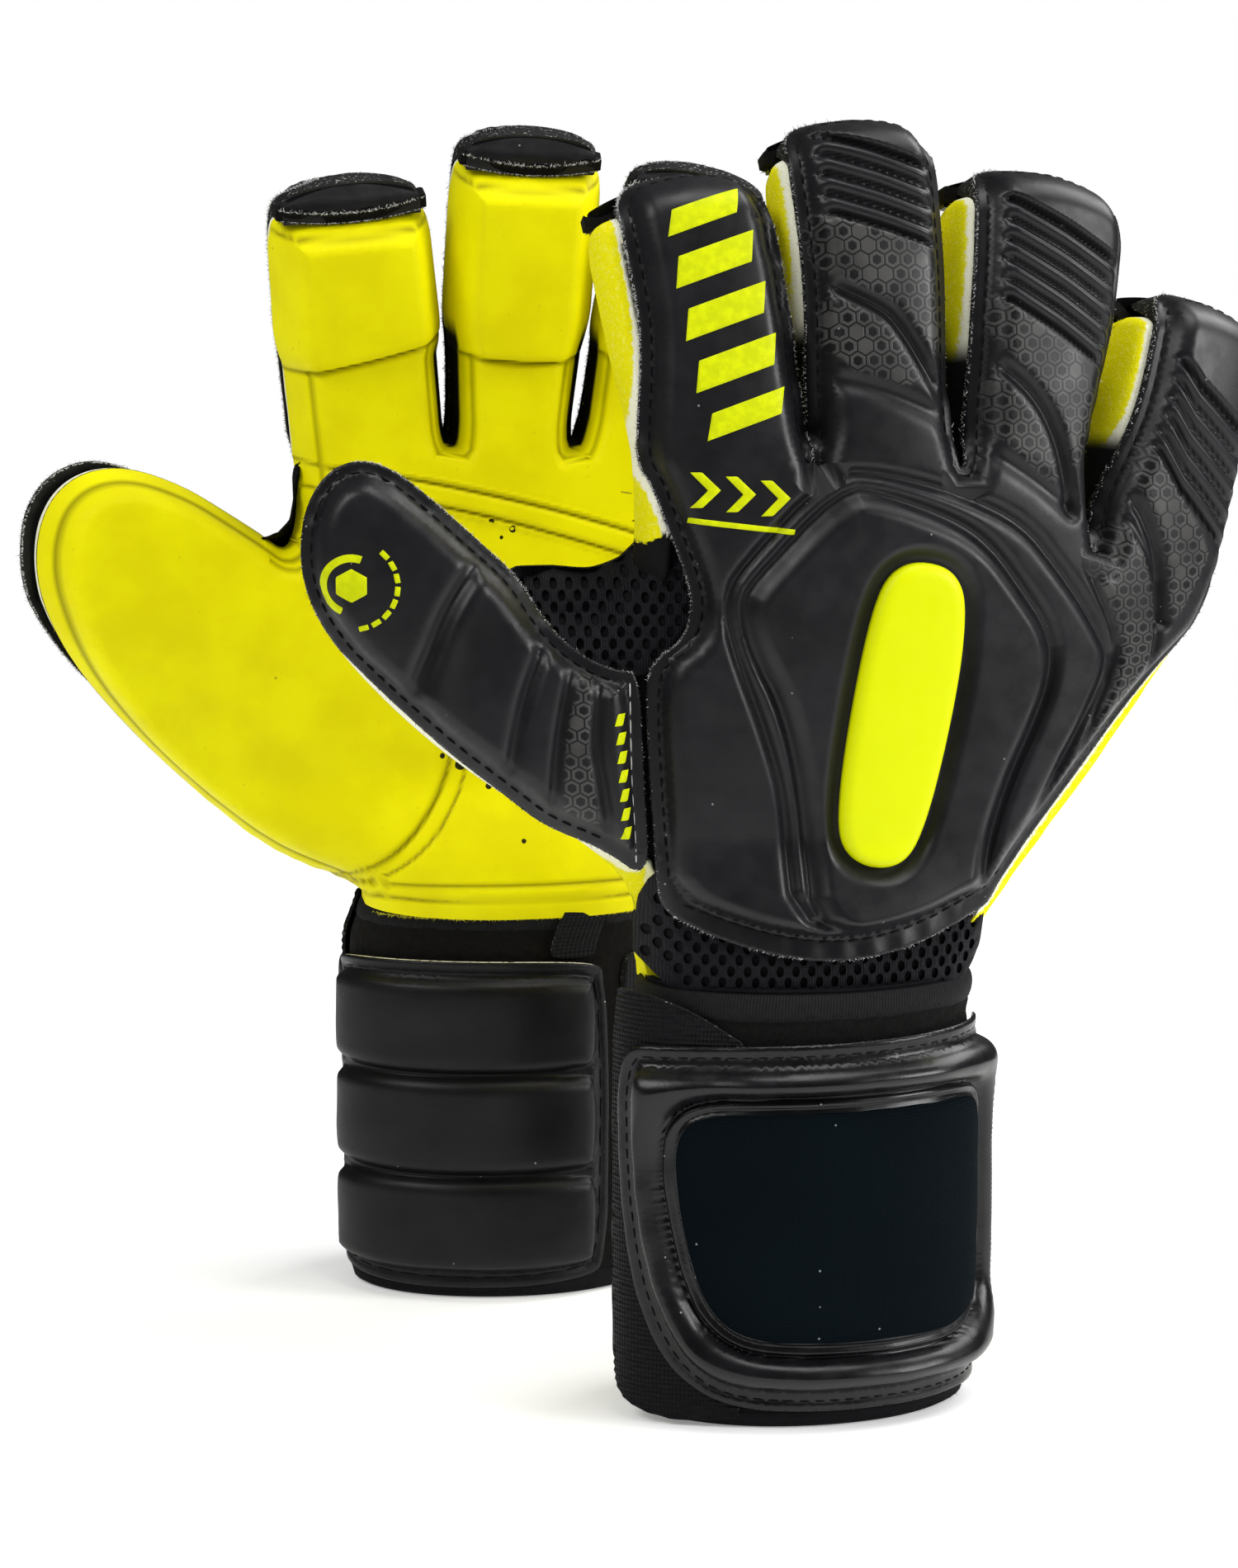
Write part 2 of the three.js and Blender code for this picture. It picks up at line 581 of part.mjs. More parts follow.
function addCuff(glove, prefix) {
  const flat = (value) => () => value;
  const add = (name, geometry, surface) => addMesh(glove, prefix + name, geometry, surface);
  // a plain piece of the cuff, between two angles, two heights and two distances outwards
  const piece = ({ from, to, low, high, inner, outer }, count) =>
    arcGeometry(steps(from, to, count), [0, 1], flat(low), flat(high), inner, flat(outer));
  add("cuff_sleeve", ringGeometry(-SLEEVE_THICKNESS, 0, 0, CUFF_TOP), BLACK_FABRIC);
  const { inner, outer, low, high } = LOOP_BAND;
  add("loop_band", ringGeometry(inner, outer, low, high), BLACK_FABRIC);
  add("palm_pad", piece(PALM_PAD, 9), BLACK_FOAM);
  add("strap_root", piece(STRAP_ROOT, 3), BLACK_FABRIC);
  add("pull_tab", piece(PULL_TAB, 2), BLACK_FABRIC);

  const strap = new THREE.Group();
  strap.name = prefix + "strap_pivot";
  strap.position.copy(cuffPoint(STRAP.from, 0, STRAP_HINGE_OUT));
  strap.updateMatrix();
  glove.add(strap);
  addToPivot(strap, prefix + "strap_pad", strapGeometry(), BLACK_FOAM);
  addToPivot(strap, prefix + "strap_panel", windowGeometry(), KNIT);
  addToPivot(strap, prefix + "hook_strip", piece(HOOK_STRIP, 4), HOOK);
}

function glove(prefix, shape, place, mirrored) {
  const standing = new THREE.Group();
  standing.name = prefix + "glove";
  standing.position.set(place.x, place.y, 0);
  standing.rotation.z = rad(place.turn);
  const made = new THREE.Group();
  made.scale.set(1, mirrored ? -1 : 1, 1);
  standing.add(made);
  const pattern = new Pattern(shape);
  addCuff(made, prefix);
  addHand(made, prefix, pattern);
  addThumb(made, prefix, pattern);
  addFingers(made, prefix, pattern);
  return standing;
}

const gloves = new THREE.Group();
gloves.add(glove("right_", RIGHT_SHAPE, RIGHT_GLOVE, false));
gloves.add(glove("left_", LEFT_SHAPE, LEFT_GLOVE, true));

export default gloves;
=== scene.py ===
"""A pair of goalkeeper gloves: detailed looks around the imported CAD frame.

Shapes are drawn flat, as [across, up] in millimetres seen from a glove's back, and bent onto the same middle
surface as the CAD. Heights stand off that surface: + towards the back of the hand, - towards the palm.
"""

import json
import math

import bpy
import numpy as np
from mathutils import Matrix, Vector
from mathutils.geometry import delaunay_2d_cdt

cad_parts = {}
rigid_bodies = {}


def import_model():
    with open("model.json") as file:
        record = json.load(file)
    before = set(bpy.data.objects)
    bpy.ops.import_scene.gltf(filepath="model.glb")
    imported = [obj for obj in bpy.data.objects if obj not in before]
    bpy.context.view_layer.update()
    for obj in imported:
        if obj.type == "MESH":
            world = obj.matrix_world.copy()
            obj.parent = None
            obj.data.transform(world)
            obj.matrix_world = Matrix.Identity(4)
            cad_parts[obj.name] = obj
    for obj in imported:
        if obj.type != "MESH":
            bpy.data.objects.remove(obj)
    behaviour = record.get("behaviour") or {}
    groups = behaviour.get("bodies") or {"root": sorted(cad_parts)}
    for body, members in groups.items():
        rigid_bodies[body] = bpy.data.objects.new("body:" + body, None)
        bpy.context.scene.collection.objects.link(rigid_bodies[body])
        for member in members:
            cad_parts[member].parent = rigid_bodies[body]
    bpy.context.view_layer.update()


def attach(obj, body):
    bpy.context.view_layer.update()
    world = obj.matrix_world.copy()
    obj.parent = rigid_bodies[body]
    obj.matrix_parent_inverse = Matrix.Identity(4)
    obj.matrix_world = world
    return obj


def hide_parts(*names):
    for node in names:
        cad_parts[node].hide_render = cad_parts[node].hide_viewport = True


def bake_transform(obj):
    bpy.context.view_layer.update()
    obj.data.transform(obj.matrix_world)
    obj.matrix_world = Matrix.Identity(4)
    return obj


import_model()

# ---------------------------------------------------------------- shapes, repeated from the CAD, in mm
FINGER_NAMES = ("index", "middle", "ring", "little")
DIGITS = FINGER_NAMES + ("thumb",)
BODIES = ("hand",) + DIGITS  # a piece's label is its place in this list
THUMB = BODIES.index("thumb")
# each finger: base, tip, and half widths of its rolled outline at shares of its length
SHAPES = {
    "right": {
        "place": (40.8, -50.8, 13.0),
        "side": 1,
        "fingers": {
            "index": ((-20, 206), (-30.5, 268), ((0, 17.6), (0.3, 17.8), (0.5, 18.4), (1, 18.2))),
            "middle": ((14.5, 210.5), (9.5, 280), ((0, 14.6), (0.3, 15.8), (0.5, 16.8), (1, 17.0))),
            "ring": ((45, 205), (53, 269), ((0, 14.2), (0.3, 16.2), (0.5, 18.2), (1, 18.6))),
            "little": ((77.5, 187), (92.5, 241), ((0, 16.4), (0.3, 16.6), (0.5, 16.8), (1, 16.2))),
        },
        "crotches": [(-2.2, 209.5), (29.6, 207.5), (60.2, 188.5)],
        "outer_edge": [(95, 178), (91, 170), (84, 160), (75.5, 150), (64.5, 137), (53.8, 125), (45, 114), (38, 104)],
        "thumb_lower": [(-38, 104), (-38.5, 117), (-51.5, 128.5), (-69.5, 139), (-87, 153), (-103.5, 171)],
        "thumb_end": [(-107.5, 184.5), (-106.4, 195), (-102, 203), (-96, 206.5), (-90, 205.6)],
        "thumb_upper": [(-79, 196.6), (-68, 186.4), (-61, 179)],
        "wrist": -35.6,
        "cuff_shift": -0.8,
        "web_edge": [(-54, 174), (-46, 175), (-40.5, 181), (-38, 192)],
    },
    "left": {
        "place": (-25.2, 51.2, 8.0),
        "side": -1,
        "fingers": {
            "index": ((-35.5, 204), (-41.5, 268), ((0, 18.2), (0.35, 18.4), (0.42, 20.0), (1, 18.8))),
            "middle": ((-1.5, 207), (1.8, 279), ((0, 14.4), (0.3, 16.0), (0.4, 17.8), (1, 18.0))),
            "ring": ((29, 205), (42.5, 270), ((0, 14.0), (0.3, 15.6), (0.4, 17.4), (1, 17.4))),
            "little": ((59, 188), (79.5, 243), ((0, 15.4), (0.3, 16.2), (0.4, 17.2), (1, 16.6))),
        },
        "crotches": [(-16.6, 205.5), (13.6, 204.5), (42.8, 190)],
        "outer_edge": [(75.5, 178), (72.5, 170), (66.5, 158), (58.5, 145), (50, 131), (43.5, 117), (38, 104)],
        "thumb_lower": [(-38.5, 99), (-45.5, 101.4), (-60.4, 107.9), (-74, 118.8), (-86.7, 130.9), (-96.4, 141.6),
                        (-105.6, 153.4)],
        "thumb_end": [(-111.6, 164.4), (-114.9, 175), (-114.7, 186), (-110.8, 195.2), (-103.4, 200.6), (-93, 201.4)],
        "thumb_upper": [(-80, 196.5), (-70, 190), (-61, 184)],
        "wrist": -38.0,
        "cuff_shift": -3.6,
        "web_edge": [(-56, 180), (-53.4, 186), (-53, 196)],
    },
}
CUFF_HALF_WIDTH, CUFF_HALF_DEPTH = 35.5, 23.5
ARC_OFF = 5  # arcs round the cuff are measured this far outside that ellipse
WRIST_LOW, WRIST_HIGH = 95, 130  # between these heights the round wrist becomes the flat hand
WRIST_SIDE = 38  # where the hand's outline meets the cuff on the little-finger side
MM = 0.001


def smoothstep(low, high, value):
    t = np.clip((value - low) / (high - low), 0, 1)
    return t * t * (3 - 2 * t)


def bell(x, width):
    return np.exp(-((x / width) ** 2))


def middle_depth(x, z):
    cup = np.where(x > 0, 9.0, 5.0)
    curl = np.maximum(0, (z - 190) / 90)
    return cup * (x / 65) ** 2 * smoothstep(105, 170, z) + 16 * curl**2


class Place:
    """Where one glove stands. Turns its own millimetres into the scene's metres."""

    def __init__(self, shape):
        self.x, self.y, turn = shape["place"]
        self.turn = math.radians(turn)
        self.side = shape["side"]
        self.cuff_shift = shape["cuff_shift"]

    def world(self, x, y, z):
        y = y * self.side
        c, s = math.cos(self.turn), math.sin(self.turn)
        return np.stack([self.x + c * x - s * y, self.y + s * x + c * y, z + 0 * x], -1) * MM

    def hand(self, x, z, n):
        """A point at height n over the hand's middle surface."""
        step = 0.5
        sx = (middle_depth(x + step, z) - middle_depth(x - step, z)) / (2 * step)
        sz = (middle_depth(x, z + step) - middle_depth(x, z - step)) / (2 * step)
        length = np.sqrt(sx**2 + 1 + sz**2)
        return self.world(x + n * sx / length, middle_depth(x, z) - n / length, z + n * sz / length)

    def cuff(self, arc, z, out):
        """A point on the cuff. arc is in mm round the cuff from the little-finger side, over the back."""
        angle = cuff_angle(arc)
        c, s = np.cos(angle), np.sin(angle)
        shift = self.cuff_shift * (1 - smoothstep(84, 98, np.asarray(z, float)))
        return self.world((CUFF_HALF_WIDTH + out) * c + shift, -(CUFF_HALF_DEPTH + out) * s, z)


# the cuff's girth, tabulated once: arc length to angle
_angles = np.radians(np.linspace(-360, 720, 4321))
_girth = np.concatenate([[0], np.cumsum(np.hypot(
    np.diff((CUFF_HALF_WIDTH + ARC_OFF) * np.cos(_angles)),
    np.diff((CUFF_HALF_DEPTH + ARC_OFF) * np.sin(_angles))))])
_girth -= np.interp(0, _angles, _girth)


def cuff_angle(arc):
    return np.interp(arc, _girth, _angles)


def cuff_arc(degrees):
    return float(np.interp(math.radians(degrees), _angles, _girth))


PLACES = {name: Place(shape) for name, shape in SHAPES.items()}


# ---------------------------------------------------------------- flat outlines
def chaikin(points, rounds=3, closed=True):
    points = np.asarray(points, float)
    for _ in range(rounds):
        after = np.roll(points, -1, 0) if closed else points[1:]
        here = points if closed else points[:-1]
        cut = np.stack([here * 0.75 + after * 0.25, here * 0.25 + after * 0.75], 1).reshape(-1, 2)
        points = cut if closed else np.vstack([points[:1], cut, points[-1:]])
    return points


def resample(points, step, closed=True):
    points = np.asarray(points, float)
    if closed:
        points = np.vstack([points, points[:1]])
    length = np.concatenate([[0], np.cumsum(np.hypot(*np.diff(points, axis=0).T))])
    count = max(2, int(round(length[-1] / step)))
    at = np.linspace(0, length[-1], count + 1)
    if closed:
        at = at[:-1]
    return np.stack([np.interp(at, length, points[:, k]) for k in range(2)], -1)


def edge_normals(points, closed=True):
    """Unit normals to the left of a polyline, at its points."""
    if closed:
        along = np.roll(points, -1, 0) - np.roll(points, 1, 0)
    else:
        along = np.gradient(points, axis=0)
    along /= np.maximum(1e-9, np.linalg.norm(along, axis=1))[:, None]
    return np.stack([-along[:, 1], along[:, 0]], -1)


def signed_area(points):
    x, z = points[:, 0], points[:, 1]
    return 0.5 * np.sum(x * np.roll(z, -1) - np.roll(x, -1) * z)


def segments(line, closed=True):
    line = np.asarray(line, float)
    return (line, np.roll(line, -1, 0)) if closed else (line[:-1], line[1:])


REACH = 14.0  # distances are only told apart up to this


def distance_to_segments(points, a, b, cell=16.0):
    result = np.full(len(points), REACH)
    if not len(points):
        return result
    d = b - a
    dd = np.maximum(1e-12, (d**2).sum(1))
    low, high = np.minimum(a, b), np.maximum(a, b)
    key = np.floor(points / cell).astype(int)
    code = key[:, 0] * 4096 + key[:, 1]
    order = np.argsort(code, kind="stable")
    starts = np.concatenate([[0], np.nonzero(np.diff(code[order]))[0] + 1, [len(points)]])
    for i, j in zip(starts[:-1], starts[1:]):
        index = order[i:j]
        corner = key[index[0]] * cell
        near = ((high > corner - REACH) & (low < corner + cell + REACH)).all(1)
        if not near.any():
            continue
        p = points[index][:, None, :] - a[near]
        t = np.clip((p * d[near]).sum(2) / dd[near], 0, 1)
        squares = ((p - t[..., None] * d[near]) ** 2).sum(2).min(1)
        result[index] = np.minimum(REACH, np.sqrt(squares))
    return result


def distance_to(points, line, closed=True):
    """Distance of each point from a polyline."""
    return distance_to_segments(points, *segments(line, closed))


def inside_segments(points, a, b, cell=4.0):
    """Whether each point is inside closed loops, by counting crossings to one side."""
    result = np.zeros(len(points), bool)
    if not len(points):
        return result
    low, high = np.minimum(a[:, 1], b[:, 1]), np.maximum(a[:, 1], b[:, 1])
    key = np.floor(points[:, 1] / cell).astype(int)
    order = np.argsort(key, kind="stable")
    starts = np.concatenate([[0], np.nonzero(np.diff(key[order]))[0] + 1, [len(points)]])
    for i, j in zip(starts[:-1], starts[1:]):
        index = order[i:j]
        bottom = key[index[0]] * cell
        near = (high >= bottom) & (low <= bottom + cell) & (a[:, 1] != b[:, 1])
        if not near.any():
            continue
        (ax, az), (bx, bz) = a[near].T, b[near].T
        x, z = points[index, 0][:, None], points[index, 1][:, None]
        crosses = ((az > z) != (bz > z)) & (x < (bx - ax) * (z - az) / (bz - az) + ax)
        result[index] = crosses.sum(1) % 2 == 1
    return result


def inside(points, polygon):
    return inside_segments(points, *segments(polygon))


def signed_distance(points, polygon):
    """Distance from a closed polygon's edge, positive inside."""
    d = distance_to(points, polygon)
    return np.where(inside(points, polygon), d, -d)


class FingerLine:
    def __init__(self, base, tip, widths):
        self.base = np.array(base, float)
        along = np.array(tip, float) - self.base
        self.length = float(np.linalg.norm(along))
        self.along = along / self.length
        self.across = np.array([self.along[1], -self.along[0]])
        self.shares, self.halves = np.array(widths, float).T

    def half(self, s):
        return np.interp(s / self.length, self.shares, self.halves)

    def point(self, s, a):
        return self.base + np.multiply.outer(s, self.along) + np.multiply.outer(a, self.across)

    def local(self, points):
        """(s, a): along from the base, and across to the little-finger side."""
        rel = points - self.base
        return rel @ self.along, rel @ self.across

    def edge(self, sign, inset, end, start):
        """Points up one side to the rounded tip."""
        top = self.length - end
        points = []
        for s in np.concatenate([np.linspace(start, 18, 4), (20.5, 22.5, 25, 30), np.linspace(36, top - 7, 4)]):
            points.append(self.point(s, sign * (self.half(s) - inset)))
        half = float(self.half(top)) - inset
        points.append(self.point(top - 1.6, sign * (half - 1.2)))
        points.append(self.point(top, sign * (half - 7.0)))
        return points


def glove_outline(shape, fingers, inset=0.0, end=0.0, bottom=60.0):
    """The outline of a glove from the wrist up the thumb side, over the fingers and down the other side."""
    wrist = shape["wrist"]
    points = [(wrist, bottom), (wrist, bottom + 4)]
    points += shape["thumb_lower"] + shape["thumb_end"] + shape["thumb_upper"] + shape["web_edge"]
    for k, finger in enumerate(fingers.values()):
        points += finger.edge(-1, inset, end, 7.0 if k == 0 else 4.0)
        points += finger.edge(1, inset, end, 4.0 if k < 3 else 8.0)[::-1]
        if k < 3:
            points.append(shape["crotches"][k])
    points += shape["outer_edge"] + [(WRIST_SIDE, bottom + 4), (WRIST_SIDE, bottom)]
    return np.array([np.asarray(p, float) for p in points])


# ---------------------------------------------------------------- smooth swelling of a flat shape
class Swelling:
    """How far each place of a flat shape lies from its edge, smoothly: a stretched skin's height."""

    STEP = 2.0
    ROUNDS = 2600

    def __init__(self, polygon):
        low = polygon.min(0) - 3 * self.STEP
        size = np.ceil((polygon.max(0) - low) / self.STEP).astype(int) + 4
        self.low = low
        xs = low[0] + self.STEP * np.arange(size[0])
        zs = low[1] + self.STEP * np.arange(size[1])
        grid = np.stack(np.meshgrid(xs, zs, indexing="ij"), -1)
        mask = inside(grid.reshape(-1, 2), polygon).reshape(grid.shape[:2]).astype(float)
        u = np.zeros_like(mask)
        for _ in range(self.ROUNDS):
            around = np.roll(u, 1, 0) + np.roll(u, -1, 0) + np.roll(u, 1, 1) + np.roll(u, -1, 1)
            u = mask * (around + self.STEP**2) / 4
        self.values = np.sqrt(2 * u)

    def at(self, points):
        """Cubic B-spline sampling, so the result has no creases."""
        p = (points - self.low) / self.STEP
        cell = np.floor(p).astype(int)
        t = p - cell
        total = np.zeros(len(points))
        for i in range(4):
            wi = b_spline(i, t[:, 0])
            for j in range(4):
                ii = np.clip(cell[:, 0] + i - 1, 0, self.values.shape[0] - 1)
                jj = np.clip(cell[:, 1] + j - 1, 0, self.values.shape[1] - 1)
                total += wi * b_spline(j, t[:, 1]) * self.values[ii, jj]
        return total


def b_spline(k, t):
    return (
        (1 - t) ** 3 / 6,
        (3 * t**3 - 6 * t**2 + 4) / 6,
        (-3 * t**3 + 3 * t**2 + 3 * t + 1) / 6,
        t**3 / 6,
    )[k]


# ---------------------------------------------------------------- meshes
def set_attribute(obj, name, values):
    attribute = obj.data.attributes.new(name, "FLOAT", "POINT")
    attribute.data.foreach_set("value", np.asarray(values, np.float32))


def set_flat_map(obj, flat, scale=0.01):
    """A UV map from flat millimetres, so weaves and prints keep their real size."""
    layer = obj.data.uv_layers.new(name="flat")
    loops = np.empty(len(obj.data.loops), np.int32)
    obj.data.loops.foreach_get("vertex_index", loops)
    layer.data.foreach_set("uv", (np.asarray(flat)[loops] * scale).astype(np.float32).ravel())


class FlatMesh:
    """A flat shape cut into triangles: rings that follow its edge, then an even fill."""

    def __init__(self, outline, rings, spacing, lines=(), holes=()):
        outline = np.asarray(outline, float)
        if signed_area(outline) < 0:
            outline = outline[::-1]
        normals = edge_normals(outline)
        points, edges = [], []
        for depth in rings:
            ring = outline + normals * depth
            if depth > 0:
                kept = distance_to(ring, outline) > depth - 0.15
            else:
                kept = np.ones(len(ring), bool)
            index = np.full(len(ring), -1)
            index[kept] = len(points) + np.arange(kept.sum())
            points += list(ring[kept])
            for i in range(len(ring)):
                a, b = index[i], index[(i + 1) % len(ring)]
                if a >= 0 and b >= 0:
                    edges.append((a, b))
        for line in lines:
            line = resample(line, spacing, closed=False)
            edges += [(len(points) + i, len(points) + i + 1) for i in range(len(line) - 1)]
            points += list(line)
        for hole in holes:
            edges += [(len(points) + i, len(points) + (i + 1) % len(hole)) for i in range(len(hole))]
            points += list(hole)
        low, high = outline.min(0), outline.max(0)
        rows = np.arange(low[1], high[1], spacing * 0.866)
        fill = []
        for k, z in enumerate(rows):
            xs = np.arange(low[0] + (k % 2) * spacing / 2, high[0], spacing)
            fill.append(np.stack([xs, np.full(len(xs), z)], -1))
        fill = np.vstack(fill)
        fill = fill[signed_distance(fill, outline) > rings[-1] + 0.55 * spacing]
        for line in lines:
            fill = fill[distance_to(fill, line, closed=False) > 0.5 * spacing]
        if holes:
            parts = [segments(hole) for hole in holes]
            ring_a, ring_b = (np.vstack([p[k] for p in parts]) for k in (0, 1))
            clear = distance_to_segments(fill, ring_a, ring_b) > 0.4 * spacing
            fill = fill[clear & ~inside_segments(fill, ring_a, ring_b)]
        verts = [Vector(p) for p in points] + [Vector(p) for p in fill]
        out = delaunay_2d_cdt(verts, edges, [list(range(len(outline)))], 1, 1e-5, False)
        self.points = np.array([tuple(v) for v in out[0]])
        tris = np.array([tuple(f) for f in out[2] if len(f) == 3])
        p = self.points
        self.depth = distance_to(p, outline)
        at_edge = self.depth < 0.02
        at_edge |= ~inside(p, outline)
        doubtful = at_edge[tris].all(1)
        keep = ~doubtful
        keep[doubtful] = inside(p[tris[doubtful]].mean(1), outline)
        tris = tris[keep]
        if holes:
            tris = tris[~inside_segments(p[tris].mean(1), ring_a, ring_b)]
        a, b, c = p[tris[:, 0]], p[tris[:, 1]], p[tris[:, 2]]
        turn = (b[:, 0] - a[:, 0]) * (c[:, 1] - a[:, 1]) - (c[:, 0] - a[:, 0]) * (b[:, 1] - a[:, 1])
        tris = tris[np.abs(turn) > 1e-9]
        turn = turn[np.abs(turn) > 1e-9]
        tris[turn < 0] = tris[turn < 0][:, ::-1]
        self.tris = tris


# ---------------------------------------------------------------- solids from flat shapes
def vertex_normals(verts, tris):
    a, b, c = verts[tris[:, 0]], verts[tris[:, 1]], verts[tris[:, 2]]
    face = np.cross(b - a, c - a)
    normals = np.zeros_like(verts)
    for k in range(3):
        np.add.at(normals, tris[:, k], face)
    return normals / np.maximum(1e-20, np.linalg.norm(normals, axis=1))[:, None]


def triangle_object(name, verts, tris, materials, face_materials=None, normals=None):
    mesh = bpy.data.meshes.new(name)
    mesh.vertices.add(len(verts))
    mesh.vertices.foreach_set("co", np.asarray(verts, np.float32).ravel())
    mesh.loops.add(3 * len(tris))
    mesh.loops.foreach_set("vertex_index", np.asarray(tris, np.int32).ravel())
    mesh.polygons.add(len(tris))
    mesh.polygons.foreach_set("loop_start", np.arange(0, 3 * len(tris), 3, dtype=np.int32))
    for material in materials:
        mesh.materials.append(material)
    if face_materials is not None:
        mesh.polygons.foreach_set("material_index", np.asarray(face_materials, np.int32))
    mesh.update(calc_edges=True)
    mesh.polygons.foreach_set("use_smooth", np.full(len(tris), True))
    if normals is not None:
        mesh.normals_split_custom_set(np.asarray(normals, np.float32))
    obj = bpy.data.objects.new(name, mesh)
    bpy.context.scene.collection.objects.link(obj)
    return obj


def border_of(tris):
    """Directed edges that only one triangle has."""
    e = np.vstack([tris[:, [0, 1]], tris[:, [1, 2]], tris[:, [2, 0]]])
    keys = np.sort(e, 1)
    _, first, counts = np.unique(keys, axis=0, return_index=True, return_counts=True)
    return e[first[counts == 1]]


def panel(place, flat, front, back, pieces, materials, split=None, on="hand", attributes=None, rim=1, under=0):
    """Closed solids over a flat mesh, from height back to height front, one for each (label, name) of pieces."""
    points = flat.points
    to_world = getattr(place, on)
    top = to_world(points[:, 0], points[:, 1], front)
    bottom = to_world(points[:, 0], points[:, 1], back)
    flip = (np.mean(front) < np.mean(back)) ^ (place.side < 0) ^ (on == "cuff")
    tris = flat.tris[:, ::-1] if flip else flat.tris
    top_normals = vertex_normals(top, tris)
    bottom_normals = vertex_normals(bottom, tris[:, ::-1])
    labels = np.zeros(len(tris), int) if split is None else split(points[tris].mean(1))
    made = []
    for label, name in pieces:
        t = tris[labels == label]
        used = np.unique(t)
        index = np.zeros(len(points), int)
        index[used] = np.arange(len(used))
        t = index[t]
        n = len(used)
        edge = border_of(t)
        a, b = edge[:, 0], edge[:, 1]
        verts = np.vstack([top[used], bottom[used]])
        walls = np.vstack([np.stack([a, a + n, b + n], 1), np.stack([a, b + n, b], 1)])
        faces = np.vstack([t, t[:, ::-1] + n, walls])
        out = np.cross(verts[a + n] - verts[a], verts[b + n] - verts[a + n])
        wall_normals = np.zeros((2 * n, 3))
        for k in (a, b, a + n, b + n):
            np.add.at(wall_normals, k, out)
        wall_normals /= np.maximum(1e-20, np.linalg.norm(wall_normals, axis=1))[:, None]
        skin = np.vstack([top_normals[used], bottom_normals[used]])
        normals = np.vstack([skin[faces[: 2 * len(t)]].reshape(-1, 3), wall_normals[walls].reshape(-1, 3)])
        kinds = np.concatenate([np.zeros(len(t), int), np.full(len(t), under), np.full(len(walls), rim)])
        obj = triangle_object(name, verts, faces, materials, kinds, normals)
        set_flat_map(obj, np.vstack([points[used]] * 2))
        for key, values in (attributes or {}).items():
            set_attribute(obj, key, np.concatenate([values[used]] * 2))
        made.append(obj)
    return made


def rise(d, width):
    """A quarter circle's rise from 0 to 1 over width."""
    t = np.clip(d / width, 0, 1)
    return np.sqrt(1 - (1 - t) ** 2)


def trough(points, line, width):
    return bell(distance_to(points, line, closed=False), width)


# ---------------------------------------------------------------- one glove's hand
# moulded grooves of the finger backs, as (across, along from the base)
RIBS = {
    "middle": {"line": [(-17, 65.6), (-7, 64.6), (2.7, 61), (17, 55)], "count": 4, "pitch": (4.05, 4.05)},
    "ring": {"line": [(-17, 57), (-8.3, 55.4), (3, 51), (18, 44.2)], "count": 5, "pitch": (4.0, 4.5)},
    "little": {"line": [(-17, 48.8), (-13, 45.7), (-1.4, 35.8), (17, 26)], "count": 5, "pitch": (4.1, 4.8)},
}
ZONE_GROOVES = {
    "middle": [[(-17, 37.5), (-11.9, 35.4), (-0.8, 29.4), (3.1, 25.9), (9.9, 12.5), (12, 8)]],
    "ring": [[(-15, 24.6), (-11.2, 22.4), (-1.6, 16.1), (4.1, 8.1), (7.7, -2.2), (9, -7)]],
    "little": [[(-15, 12), (-9.2, 7), (-3, -1), (1.5, -15)]],
}
BASE_GROOVES = {
    "middle": [(-14, 16.2), (-2.6, 12.8), (8, 7.4), (11, 5)],
    "ring": [(-13, 4.6), (-1.8, -0.5), (7.1, -5.6)],
}
HEX_ZONES = {
    "middle": [
        [(-13.5, 49.5), (-7, 48.6), (2.7, 45), (12.5, 41), (12, 14.5), (4.6, 27.6), (0.2, 31.2), (-13.5, 38)],
        [(-13, 33.8), (-1.6, 27.6), (2, 24.4), (8.8, 10.5), (-13, 19)],
    ],
    "ring": [
        [(-12.5, 36), (-10, 35.6), (13, 21.5), (11, 7), (8.8, 0), (5.8, 9.8), (-0.4, 17.9), (-12.5, 27)],
        [(-12.5, 21), (-2.6, 14.4), (2.7, 6.4), (5.8, -3), (-2, 1.6), (-12.5, 9)],
    ],
    "little": [
        [(-12.5, 23.5), (-11, 22.6), (-3, 14), (9.5, 3), (9, -1), (5.2, -14), (3, -14), (-1.3, -1), (-7.6, 8.4),
         (-12.5, 13.4)],
    ],
}
SHIELD = [
    (-3.2, 108), (-3.4, 131.8), (-7.9, 156.4), (-15.2, 170.8), (-16.7, 178.6), (-15.3, 183.5), (3, 201.6),
    (10.9, 200.5), (25.2, 195.2), (33, 189.9), (39.4, 181.1), (46, 171.4), (46.5, 162.8), (44.4, 154.2),
    (37.2, 137.3), (33.3, 120.9), (32.5, 106),
]
OUTER_SHIELD = [
    (-7.3, 108), (-7.8, 135.6), (-11.5, 150), (-18.8, 170.9), (-20.6, 180.1), (-17.5, 187.1), (1, 205.2),
    (12, 204.6), (28, 200), (40.8, 193.9), (48.2, 185), (54, 177), (60, 167.1), (60, 161.3), (55.7, 150.7),
    (48.1, 136.8), (41.5, 121), (40, 106),
]
HEX_STRIP = [
    (65.5, 197), (72.2, 184), (73, 171), (71.5, 158), (64, 144), (55, 132.5), (58.5, 146), (64, 160), (64.4, 170),
    (60, 180), (57, 186.5),
]
BADGE_CENTRE, BADGE_LENGTH, BADGE_WIDTH, BADGE_LEAN = (14.5, 155.5), 66.0, 21.0, 9.0
